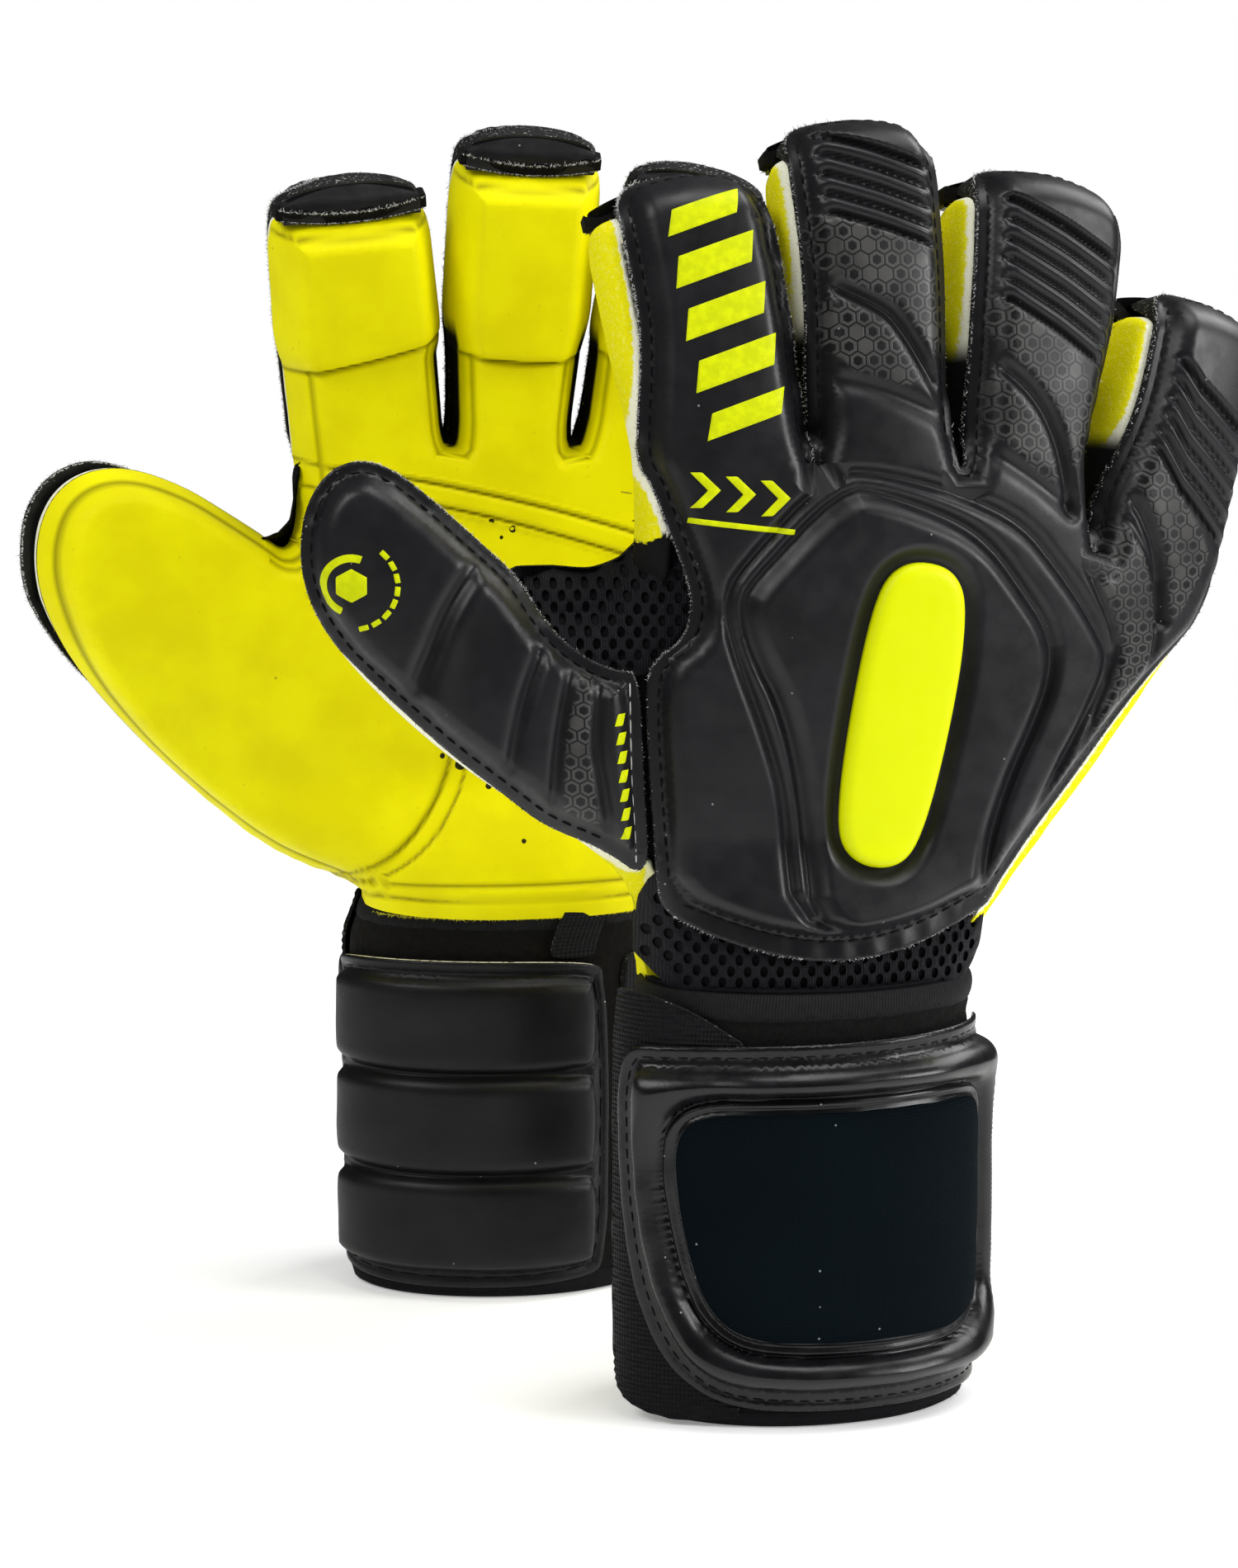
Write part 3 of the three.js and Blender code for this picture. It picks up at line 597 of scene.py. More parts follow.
THUMB_GROOVES = [
    ([(-71.5, 190), (-78.3, 179.8), (-82.8, 168), (-86.6, 157), (-88, 150)], 1.9, 1.9),
    ([(-69, 188), (-74.6, 180), (-78.8, 168), (-81.5, 154), (-83, 147)], 2.4, -0.5),
    ([(-58.5, 173), (-59.1, 170.2), (-63.3, 158.5), (-67.2, 140.9), (-68, 136)], 1.7, 2.1),
    ([(-52.3, 170), (-52.9, 166.6), (-56.6, 150), (-58.2, 137), (-59, 130)], 1.4, 1.8),
    ([(-46.8, 168), (-47, 165), (-48.9, 149), (-47.6, 139), (-45.6, 124)], 1.4, 1.8),
]
THUMB_HEX = [(-51.6, 165.5), (-48.4, 164.5), (-50.4, 149), (-48.8, 131.5), (-56.6, 135), (-55.2, 150)]
BACK_PANELS = {
    "right": {
        "hand_side": [(-35.8, 113.8), (-36.6, 122), (-37.6, 145), (-37.8, 163), (-35.5, 168.6), (-30.5, 171.6),
                      (-27.8, 178.6), (-29.6, 187), (-33, 195.5), (-35.8, 204)],
        "insets": {"index": (-0.6, 6.4, -1.0, -3.4), "middle": (-1.6, 2.8, 0.6, -3.0),
                   "ring": (0.4, 3.6, -0.8, -4.4), "little": (-1.0, 4.6, -2.4, -1.0)},
        "crotches": [(-2.4, 206.6), (29.4, 204.6), (59.6, 185.6)],
        "outer": [(90.5, 173), (84.6, 166), (77, 159), (68.2, 150), (57.2, 137), (46.8, 125), (40.2, 116.5),
                  (37.6, 112)],
        "thumb": [(-38.9, 165.6), (-38.7, 140), (-37.8, 119.5), (-47.5, 126.6), (-59.4, 131.2), (-66.9, 137.2),
                  (-82.3, 149.4), (-101.5, 170.6), (-107.4, 182), (-108.6, 191.6), (-107, 201.2),
                  (-101.6, 208.6), (-94, 210.2), (-86, 206), (-71, 192.4), (-64.0, 185.8), (-57.6, 175.2),
                  (-49.9, 168.2), (-43.5, 165.4)],
        "shift": 0.0,
        "thumb_map": (1.0, 0.0, 1.0, 0.0),
    },
    "left": {
        "hand_side": [(-35.8, 113.8), (-37.5, 122), (-42, 140), (-44.4, 158), (-44, 166), (-42, 171),
                      (-42, 178.6), (-44.5, 187), (-49, 194.5), (-52, 203)],
        "insets": {"index": (0.4, 1.6, 0.2, 1.0), "middle": (0.2, 1.4, 0.2, 1.0), "ring": (0.2, 1.4, 0.2, 1.0),
                   "little": (0.2, 1.4, 0.2, 1.0)},
        "crotches": [(-16.6, 202.6), (13.6, 201.6), (42.6, 187)],
        "outer": [(73, 173), (69.5, 166), (63.5, 156), (55.5, 143.5), (47.5, 129.5), (42, 118), (38.3, 112)],
        "thumb": [(-45.5, 163.5), (-43.2, 140), (-38.6, 117), (-42, 109), (-49, 106.5), (-60, 109.5), (-73, 118.5),
                  (-86.5, 130.5), (-97, 141.8), (-106.4, 153), (-112.6, 163.4), (-116.4, 173), (-117.0, 182),
                  (-115.8, 190.6), (-111.6, 197.6), (-105.2, 201.6), (-97.6, 202.2), (-88, 198.8), (-76, 191),
                  (-66, 182), (-58, 172), (-50.5, 165.6)],
        "shift": -13.5,
        "thumb_map": (1.0, -4.0, 1.0, -4.0),
    },
}
FLANGE = 3.4
PALM_TIP_INSET = 5.6
PALM_BOTTOM = 93.5
PALM_SHIFT = {"right": 13.5, "left": 0.0}  # how far the palm's seams stand towards the little finger
ARC_SHIFT = {"right": (15, 4), "left": (0, 0)}
SPOT_SHIFT = {"right": 9, "left": 0}
HEX_PITCH = 3.3
LINT = 300.0  # one cell in which a speck of lint may lie, as cells in a metre
SEWING_SEEDS = {"right": 5, "left": 6}
HEM_START, HEM_WIDTH, HEM_TOP, HEM_SAG = 38.3, 74.1, 112.6, 9.6
BEND_REACH = 26.0  # how far beyond a finger's cut attach places an end point, which nothing uses
STRIP_EDGE = (-0.2, 0.5)  # how sharply the printed hexagons end


SEWN_EDGE, BACK_FLANGE, THUMB_FLANGE = 0.35, 1.2, 1.0  # how far an edge is rounded, and its flange's thickness
BACK_PAD, THUMB_PAD = (4.6, 4.2), (3.8, 4.0)  # how far the foam rises from the flange, and over what width
TIP_UNDER = 3.5  # the caps of the fingertips come down this far below the middle surface


def back_hem(share, low=0.0):
    """The back panel's lower edge, from the little-finger side to the thumb side."""
    x = HEM_START - HEM_WIDTH * share
    return np.stack([x, HEM_TOP - HEM_SAG * np.sin(math.pi * share) + low], -1)


def smooth_line(line, rounds=2):
    return chaikin(line, rounds, closed=False)


class Hand:
    """Everything that both sides of one hand need: its finger lines, flat outlines and smooth heights."""

    def __init__(self, name):
        self.name = name
        self.shape = shape = SHAPES[name]
        self.panels = BACK_PANELS[name]
        self.place = PLACES[name]
        self.fingers = {f: FingerLine(*shape["fingers"][f]) for f in FINGER_NAMES}
        outline = glove_outline(shape, self.fingers)
        self.swelling = Swelling(chaikin(outline, 2))
        palm = glove_outline(shape, self.fingers, 0.0, PALM_TIP_INSET, PALM_BOTTOM)
        self.palm_outline = resample(chaikin(palm, 3), 0.8)
        ends = [shape["web_edge"][-1]] + shape["crotches"] + [shape["outer_edge"][0]]
        self.cuts = {f: (np.array(ends[k], float), np.array(ends[k + 1], float)) for k, f in enumerate(FINGER_NAMES)}
        self.cuts["thumb"] = {
            "right": (np.array((-66.0, 126.0)), np.array((-56.5, 194.0))),
            "left": (np.array((-79.0, 108.0)), np.array((-58.5, 196.0))),
        }[name]

    def swell(self, points):
        return self.swelling.at(points)

    def wrist(self, points):
        """How much a place belongs to the round wrist, rather than to the flat hand."""
        return 1 - smoothstep(WRIST_LOW, WRIST_HIGH, points[:, 1])

    def carrier(self, points):
        """Height of the sewn base of the back."""
        u = self.swell(points)
        flat = 6.0 + 5.0 * (1 - np.exp(-u / 12)) + 3.0 * (1 - bell(u, 32))
        w = self.wrist(points)
        return (1 - w) * flat + w * np.maximum(4, 0.615 * u)

    def palm_skin(self, points, d):
        """Depth of the palm below the middle surface, before seams."""
        u = self.swell(points)
        flat = 8.0 * rise(d, 7.5) + 9.0 * (1 - np.exp(-u / 14)) * smoothstep(0, 6, d)
        w = self.wrist(points)
        return (1 - w) * flat + w * np.maximum(1.0, 0.69 * u)

    def cut_line(self, key, extra=1.5):
        a, b = self.cuts[key]
        along = (b - a) / np.linalg.norm(b - a)
        return np.array([a - extra * along, b + extra * along])

    def region(self, key):
        """The polygon that holds one finger's or the thumb's part, beyond its cut."""
        a, b = self.cuts[key]
        if key == "thumb":
            return np.array([a, b, b + (-20, 30), (-160, 230), (-160, 90), a + (-20, -20)])
        k = FINGER_NAMES.index(key)
        here = self.fingers[key].along
        before = self.fingers[FINGER_NAMES[k - 1]].along if k else here + (-0.5, -0.1)
        after = self.fingers[FINGER_NAMES[k + 1]].along if k < 3 else here + (0.6, -0.1)
        left, right = here + before, here + after
        return np.array([a, b, b + 60 * right, a + 60 * left])

    def split(self, centres):
        labels = np.zeros(len(centres), int)
        for k, key in enumerate(DIGITS):
            labels[inside(centres, self.region(key))] = k + 1
        return labels

    def attach(self, obj, label, slot=None):
        """Rides on the hand. A piece on a finger or the thumb is baked in place and left unattached."""
        g = self.name
        if label == 0:
            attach(obj, f"{g}_hand")
            return
        a, b = self.cuts[BODIES[label]]
        along = (b - a) / np.linalg.norm(b - a)
        middle = (a + b) / 2
        start = self.place.hand(*middle, 0.0)
        end = self.place.hand(*(middle + BEND_REACH * np.array([-along[1], along[0]])), 0.0)
        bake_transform(obj)

    # ---- outlines of the back
    def back_outline(self, f=0.0, tip=0.0, low=None):
        """The moulded back panel's edge. f moves it inwards from the sides, and tip outwards at the fingertips."""
        data = self.panels
        low = f if low is None else low
        points = []
        points += [p + (f, low * (k == 0)) for k, p in enumerate(np.array(data["hand_side"], float))]
        for k, (name, finger) in enumerate(self.fingers.items()):
            lb, lt, rb, rt = data["insets"][name]
            top = finger.length + 1.0 + tip
            for s in np.linspace(6 if k == 0 else 4, finger.length - 11, 6):
                share = s / finger.length
                inset = lb + (lt - lb) * smoothstep(0.05, 0.6, share) + f
                points.append(finger.point(s, -(finger.half(s) - inset)))
            half = finger.half(finger.length)
            corner = max(rt, 0.2)
            points.append(finger.point(top - 4.2, -(half - lt - f - 0.6)))
            points.append(finger.point(top, -(half - lt - f - 6)))
            points.append(finger.point(top, half - corner - f - 6))
            points.append(finger.point(top - 4.2, half - corner - f - 0.6))
            for s in np.linspace(4 if k < 3 else 8, finger.length - 11, 6)[::-1]:
                inset = rb + (rt - rb) * s / finger.length + f
                points.append(finger.point(s, finger.half(s) - inset))
            if k < 3:
                points.append(np.array(data["crotches"][k]) - (0, f * 1.5))
        points += [p - (f, 0) for p in np.array(data["outer"], float)]
        points += list(back_hem(np.linspace(0, 1, 11)[1:-1], low))
        points[-10] = points[-10] + (0, low * 0.6)
        return np.array(points)

    def shield(self, line):
        """Hand features, moved sideways to where this glove's fingers stand."""
        line = np.array(line, float)
        line[:, 0] += self.panels["shift"] * smoothstep(108, 200, line[:, 1])
        return line

    def finger_line(self, name, line):
        line = np.array(line, float)
        finger = self.fingers[name]
        scale = finger.length / FINGER_LENGTHS[name]
        return finger.point(line[:, 1] * scale, line[:, 0])

    def badge_outline(self, grow=0.0, step=0.8):
        """A long leaning bar with rounded ends."""
        h, w = BADGE_LENGTH / 2 + grow, BADGE_WIDTH / 2 + grow
        p = np.array([(-w, -h * 0.62), (-w * 0.62, -h), (w * 0.62, -h), (w, -h * 0.62), (w, h * 0.62), (w * 0.62, h),
                      (-w * 0.62, h), (-w, h * 0.62)])
        p = chaikin(p, 3)
        lean = math.radians(BADGE_LEAN)
        c, s = math.cos(lean), math.sin(lean)
        p = p @ np.array([[c, -s], [s, c]]) + BADGE_CENTRE
        p[:, 0] += self.panels["shift"] * smoothstep(108, 200, BADGE_CENTRE[1])
        return resample(p, step)

    # ---- heights of the back
    def prepare_back(self):
        self.back_edge = resample(chaikin(self.back_outline(), 3), 0.65)
        self.pad_edge = resample(chaikin(self.back_outline(FLANGE, tip=9, low=5.6), 3), 1.0)
        self.shield_line = chaikin(self.shield(SHIELD), 2)
        self.outer_line = chaikin(self.shield(OUTER_SHIELD), 2)
        self.strip = chaikin(self.shield(HEX_STRIP), 1)
        self.badge_line = self.badge_outline(step=1.5)

    def ribs(self, points):
        drop = np.zeros(len(points))
        for name, rib in RIBS.items():
            finger = self.fingers[name]
            scale = finger.length / FINGER_LENGTHS[name]
            s, a = finger.local(points)
            line = np.array(rib["line"], float)
            q = np.interp(a, line[:, 0], line[:, 1] * scale) - s
            near = (np.abs(a) < 24) & (s > -20) & (s < finger.length + 12)
            pitch = np.interp(a, [-15, 15], rib["pitch"]) * scale
            turn = q / pitch
            count = rib["count"]
            inside_ribs = smoothstep(-0.32, -0.02, turn) * (1 - smoothstep(count - 0.02, count + 0.3, turn))
            wave = np.abs(np.sin(math.pi * np.clip(turn, 0, count)))
            drop += near * inside_ribs * (0.3 + 2.7 * (1 - wave**0.75))
        return drop

    def hex_mask(self, points):
        mask = np.zeros(len(points))
        for name, zones in HEX_ZONES.items():
            for zone in zones:
                d = signed_distance(points, chaikin(self.finger_line(name, zone), 1))
                mask = np.maximum(mask, smoothstep(*STRIP_EDGE, d))
        return np.maximum(mask, smoothstep(*STRIP_EDGE, signed_distance(points, self.strip)))

    def tip_fall(self, points):
        """1 at a fingertip's end, falling to 0 on the finger."""
        fall = np.zeros(len(points))
        for finger in self.fingers.values():
            s, a = finger.local(points)
            near = (np.abs(a) < finger.half(finger.length) + 1.5) & (s > finger.length - 14)
            bow = s + 0.012 * a**2
            t = np.clip((bow - (finger.length - 9.5)) / 11.0, 0, 1)
            fall = np.maximum(fall, near * t)
        return fall

    def back_height(self, points):
        """Front height of the moulded back panel."""
        base = self.carrier(points)
        d = signed_distance(points, self.pad_edge)
        pad = BACK_PAD[0] * rise(d + 0.2, BACK_PAD[1]) ** 1.2
        fall = self.tip_fall(points)
        drop = self.ribs(points)
        for name, lines in ZONE_GROOVES.items():
            for line in lines:
                drop += 2.4 * trough(points, smooth_line(self.finger_line(name, line)), 1.4)
        for name, line in BASE_GROOVES.items():
            drop += 1.3 * trough(points, smooth_line(self.finger_line(name, line)), 2.0)
        inner = signed_distance(points, self.shield_line)
        outer = signed_distance(points, self.outer_line)
        lift = 1.6 * smoothstep(-0.6, 2.8, inner) - 2.0 * bell(inner + 1.6, 1.4)
        lift += 0.6 * smoothstep(-0.6, 2.4, outer) - 1.9 * bell(outer + 1.4, 1.3)
        strip = signed_distance(points, self.strip)
        lift += 0.6 * smoothstep(-1, 1.5, strip) - 1.2 * bell(strip + 0.9, 1.1) * (points[:, 0] > 20)
        badge = signed_distance(points, self.badge_line)
        lift -= 1.9 * (smoothstep(-4.2, -0.8, badge))
        height = base + BACK_FLANGE + pad + (lift - drop) * smoothstep(0.2, 3.2, d)
        lower = 0.2 * np.sin(points[:, 0] * 0.9) * (points[:, 1] < 125)
        height += lower * np.clip(-d / 3, 0, 1)
        capped = (height + TIP_UNDER) * np.sqrt(np.maximum(0, 1 - fall**2)) - TIP_UNDER
        return np.where(fall > 0, capped, height)

    def back_under(self, points, front):
        """Under side of the back panel. It drops at the fingertips, to cap them."""
        fall = self.tip_fall(points)
        under = self.carrier(points) - 0.2
        under = under + (-5.0 - under) * smoothstep(0.15, 0.9, fall)
        return np.minimum(under, front - 0.6)

    # ---- the thumb's back
    def prepare_thumb(self):
        self.thumb_edge = resample(chaikin(np.array(self.panels["thumb"]), 2), 0.65)
        inner = self.thumb_edge
        normals = edge_normals(inner)
        if signed_area(inner) < 0:
            normals = -normals
        self.thumb_pad = chaikin(resample(inner + FLANGE * normals, 2.5), 1)

    def thumb_line(self, line):
        line = np.array(line, float)
        sx, ox, sz, oz = self.panels["thumb_map"]
        return np.stack([line[:, 0] * sx + ox, line[:, 1] * sz + oz], -1)

    def thumb_height(self, points):
        base = self.carrier(points)
        d = signed_distance(points, self.thumb_pad)
        pad = THUMB_PAD[0] * rise(d + 0.2, THUMB_PAD[1]) ** 1.2
        drop = np.zeros(len(points))
        for line, width, depth in THUMB_GROOVES:
            drop += depth * trough(points, smooth_line(self.thumb_line(line)), width)
        return base + THUMB_FLANGE + pad - drop * smoothstep(-0.5, 2.2, d)


FINGER_LENGTHS = {
    name: FingerLine(*SHAPES["right"]["fingers"][name]).length for name in FINGER_NAMES
}
HANDS = {name: Hand(name) for name in SHAPES}
SPACING = 0.65
PALM_SPACING = 0.8


def foam_panels(hand, mats, edge, lines, height, under, mask, pieces, nodes, split):
    """Moulded foam inside an edge, cut into pieces that each stand for one CAD node."""
    flat = FlatMesh(edge, (0, 0.35, 0.9, 1.7, 2.6, 3.4, 4.1, 4.9, 5.8), SPACING, lines)
    p = flat.points
    front = height(p) - SEWN_EDGE * (1 - rise(flat.depth, 0.4))
    objs = panel(hand.place, flat, front, under(p, front), pieces, [mats["foam"], mats["raw_black"]], split,
                 attributes={"hex": mask(p), "edge": flat.depth})
    for (label, _), obj, node in zip(pieces, objs, nodes):
        hand.attach(obj, label, "back_foam")
        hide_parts(f"{hand.name}_{node}")


def build_back(hand, mats):
    g = hand.name
    hand.prepare_back()
    foam_panels(
        hand, mats, hand.back_edge, [hand.cut_line(f) for f in FINGER_NAMES], hand.back_height, hand.back_under,
        hand.hex_mask, [(k, f"{g}_{name}_back_foam") for k, name in enumerate(BODIES[:THUMB])],
        [f"{name}_back" for name in BODIES[:THUMB]], hand.split,
    )
    hand.prepare_thumb()
    foam_panels(
        hand, mats, hand.thumb_edge, [hand.cut_line("thumb", 0)], hand.thumb_height,
        lambda p, front: np.minimum(hand.carrier(p) - 0.3, front - 0.6),
        lambda p: smoothstep(*STRIP_EDGE, signed_distance(p, hand.thumb_line(THUMB_HEX))),
        [(0, f"{g}_thumb_base_foam"), (THUMB, f"{g}_thumb_back_foam")], ["thumb_base_back", "thumb_back"],
        lambda centres: np.where(hand.split(centres) == THUMB, THUMB, 0),
    )


# ---------------------------------------------------------------- the palm
# seams of the left palm, which PALM_SHIFT moves for the right one
BLOCK_SEAMS = {
    "index": [(-22, 22.0), (-14, 22.6), (0, 24.4), (13, 26.4), (20, 27.4)],
    "middle": [(-20, 21.6), (0, 20.8), (20, 21.2)],
    "ring": [(-20, 21.6), (0, 21), (20, 21.6)],
    "little": [(-20, 18.6), (0, 18), (20, 18.6)],
}
CROSS_SEAMS = [
    [(-54, 202.6), (-38.1, 200.4), (-16.5, 196.6), (25.8, 185.9), (60, 175), (82, 169)],
    [(-52, 196.4), (-38, 194.6), (-16.5, 191.2), (25.8, 180), (58, 169.5), (80, 163)],
]
THUMB_ARCS = [
    [(-50, 100), (-36.4, 105.6), (-26.3, 114.5), (-19.3, 126), (-17, 139), (-20, 152), (-29, 165), (-42, 176),
     (-56, 184)],
    [(-46, 98.6), (-33.6, 103.2), (-22.6, 112), (-15, 124.4), (-12.6, 138.5), (-16, 153.6), (-26, 168), (-40, 180),
     (-52, 188)],
]
HEM_LINES = (101.6, 98.2)


class Palm:
    def __init__(self, hand):
        self.hand = hand
        self.outline = hand.palm_outline
        self.shift = PALM_SHIFT[hand.name]
        low = (np.abs(self.outline[:, 0]) < 37.2) & (self.outline[:, 1] < 98)
        start = int(np.argmax(low & ~np.roll(low, 1)))
        rolled = np.roll(self.outline, -start, 0)
        low = np.roll(low, -start)
        self.sides = rolled[int(low.sum()) :]
        self.cross = [self.move(line) for line in CROSS_SEAMS]
        self.arcs = [smooth_line(np.array(arc, float) + ARC_SHIFT[hand.name], 3) for arc in THUMB_ARCS]
        self.thumb_area = np.vstack([self.arcs[0], [(-62, 215), (-150, 215), (-150, 95)]])

    def move(self, line):
        line = np.array(line, float)
        line[:, 0] += self.shift * smoothstep(108, 200, line[:, 1])
        return smooth_line(line, 3)

    def side_distance(self, points):
        return distance_to(points, self.sides, closed=False)

    def block(self, points):
        """How far each point lies above its finger's block seam, and its label. -30 away from the fingers."""
        best = np.full(len(points), -30.0)
        labels = self.hand.split(points)
        for k, (name, finger) in enumerate(self.hand.fingers.items()):
            s, a = finger.local(points)
            line = np.array(BLOCK_SEAMS[name], float)
            over = s - np.interp(a, line[:, 0], line[:, 1])
            best = np.where(labels == k + 1, over, best)
        return best, labels

    def height(self, points):
        """Height of the palm's outside. Also keeps how deep in a seam each point lies, which the latex uses to paint
        shade into the seam grooves.
        """
        hand = self.hand
        d = self.side_distance(points)
        n = hand.palm_skin(points, d)
        seam = np.zeros(len(points))

        def groove(distance, width, depth, where=1.0):
            nonlocal n, seam
            shape = bell(distance, width) * where
            n = n - depth * shape
            seam = np.maximum(seam, shape)

        over, labels = self.block(points)
        finger = (labels > 0) & (labels < THUMB)
        n += finger * 2.6 * rise(over, 2.0) * rise(d, 4)
        groove(over + 0.3, 0.55, 1.2, finger)
        top = np.full(len(points), 99.0)
        for k, f in enumerate(hand.fingers.values()):
            s, _ = f.local(points)
            top = np.where(labels == k + 1, f.length - PALM_TIP_INSET - s, top)
        n -= finger * 1.1 * (1 - smoothstep(3.0, 4.0, top))
        groove(top - 3.9, 0.4, 0.7, finger)
        above = points[:, 1] > (196 if hand.name == "left" else 200) - 0.35 * np.abs(points[:, 0] - 10 - self.shift)
        lower = (over < 0) & (labels < THUMB) & above
        groove(d - 4.4, 0.45, 0.9, lower)
        n += lower * 0.6 * (1 - smoothstep(3.6, 4.4, d)) * rise(d, 2)
        first, second = (distance_to(points, line, closed=False) for line in self.cross)
        band = (first < 6.6) & (second < 6.6)
        n += 0.7 * band * smoothstep(0, 1.2, first) * smoothstep(0, 1.2, second)
        groove(first, 0.45, 0.9)
        groove(second, 0.45, 0.9)
        thumb = signed_distance(points, self.thumb_area)
        n += 1.5 * rise(thumb + 0.2, 2.0) * rise(d - 2.6, 2.0)
        for arc, width, depth in zip(self.arcs, (0.5, 0.4), (1.0, 0.5)):
            groove(distance_to(points, arc, closed=False), width, depth)
        groove(d - 2.6, 0.45, 0.9, thumb > -1)
        for z in HEM_LINES:
            groove(points[:, 1] - z, 0.45, 0.7, points[:, 1] < 112)
        n += 0.5 * (1 - smoothstep(HEM_LINES[0] - 0.6, HEM_LINES[0], points[:, 1]))
        n += np.sin(points[:, 0] * 0.21 + 1) * np.sin(points[:, 1] * 0.17 + 2) * 0.25 * smoothstep(8, 20, d)
        self.seam = seam
        return -n

    def cloth(self, points):
        """Painted shade: where the rolled side is painted black, in the lower part of the gaps between the fingers.
        """
        labels = self.hand.split(points)
        dark = np.where((labels == 0) & (points[:, 1] > 180) & (points[:, 0] > -45), 1.0, 0.0)
        for k, finger in enumerate(self.hand.fingers.values()):
            s, a = finger.local(points)
            low = 1 - smoothstep(0.34, 0.42, s / finger.length)
            inner_side = (a > 0) if k == 0 else (a < 0) if k == 3 else np.full(len(a), True)
            dark = np.where((labels == k + 1) & inner_side, low, dark)
        return dark

    def roll(self, points):
        """1 where the side rolls up to the back panel, 0 at the web and the wrist."""
        web = distance_to(points, np.array(self.hand.shape["web_edge"][:3], float), closed=False)
        roll = np.where(points[:, 0] < 0, smoothstep(110, 128, points[:, 1]), smoothstep(100, 110, points[:, 1]))
        return roll * smoothstep(2, 9, web)

    def bare(self, points):
        """How far a place lies outside the back's panels."""
        hand = self.hand
        return -np.maximum(signed_distance(points, hand.back_edge), signed_distance(points, hand.thumb_edge))

    def pale(self, points):
        """Where the right heel's outer edge is worn to its pale core."""
        worn = smoothstep(20, 34, points[:, 0]) * (1 - smoothstep(148, 166, points[:, 1]))
        return worn * (1 - smoothstep(3.5, 6.5, self.side_distance(points))) * (self.hand.name == "right")

    def under(self, points, front):
        """The inner side: a thin skin, rolled up to the back panel along its sides."""
        d = self.side_distance(points)
        lip = (self.hand.carrier(points) - 0.5) * rise(d, 3.4) * self.roll(points)
        inner = front + np.clip(-0.35 * front, 0.8, 2.2)
        return lip + (inner - lip) * smoothstep(6.6, 7.8, d)


def build_palm(hand, mats):
    g = hand.name
    palm = Palm(hand)
    rings = (0, 0.4, 1.0, 1.8, 2.6, 3.4, 4.2, 5.2, 6.4)
    flat = FlatMesh(palm.outline, rings, PALM_SPACING, [hand.cut_line(key) for key in DIGITS])
    p = flat.points
    front = palm.height(p)
    seam = palm.seam
    under = np.maximum(palm.under(p, front), front + 0.02)
    pieces = [(0, f"{g}_palm_latex")] + [(k + 1, f"{g}_{key}_palm_latex") for k, key in enumerate(DIGITS)]
    objs = panel(
        hand.place, flat, front, under, pieces, [mats["latex"], mats["raw_latex"]], hand.split,
        attributes={"edge": palm.side_distance(p), "cloth": palm.cloth(p), "seam": seam, "roll": palm.roll(p),
                    "pale": palm.pale(p), "bare": palm.bare(p)},
        under=1,
    )
    stands_for = {0: ["palm_upper", "palm_heel", "thumb_base_palm"]}
    for (label, _), obj in zip(pieces, objs):
        hand.attach(obj, label, "palm_latex")
        for node in stands_for.get(label, [f"{BODIES[label]}_palm"]):
            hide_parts(f"{g}_{node}")
    hand.palm = palm


def build_lining(hand, mats):
    """The dark bag inside the hand."""
    g = hand.name
    shape = glove_outline(hand.shape, hand.fingers, 3.6, 9, bottom=97.5)
    outline = resample(chaikin(shape, 2), 2.2)
    flat = FlatMesh(outline, (0, 1.5, 3.0), 3.2, [hand.cut_line(key) for key in DIGITS])
    d = hand.palm.side_distance(flat.points)
    top = (hand.carrier(flat.points) - 2.6) * rise(d - 4.6, 4) ** 0.5
    low = -(hand.palm_skin(flat.points, d) - 3.2) * rise(d - 4.6, 5) ** 0.5
    low = np.minimum(low, top - 0.4)
    pieces = [(0, f"{g}_lining")] + [(k + 1, f"{g}_{key}_lining") for k, key in enumerate(DIGITS)]
    objs = panel(hand.place, flat, top, low, pieces, [mats["lining"]], hand.split, rim=0)
    for (label, _), obj in zip(pieces, objs):
        hand.attach(obj, label)


def mesh_holes(outline, margin, pitch=3.4, size=(1.25, 0.85)):
    """Staggered oval holes that stay clear of an outline."""
    low, high = outline.min(0), outline.max(0)
    turn = np.linspace(0, 2 * math.pi, 11)[:-1]
    holes = []
    for row, z in enumerate(np.arange(low[1], high[1], pitch * 0.72)):
        for x in np.arange(low[0] + (row % 2) * pitch / 2, high[0], pitch):
            holes.append(np.stack([x + size[1] * np.cos(turn), z + size[0] * np.sin(turn)], -1))
    clear = signed_distance(np.vstack(holes), outline).reshape(len(holes), -1).min(1) > margin
    return [hole for hole, good in zip(holes, clear) if good]


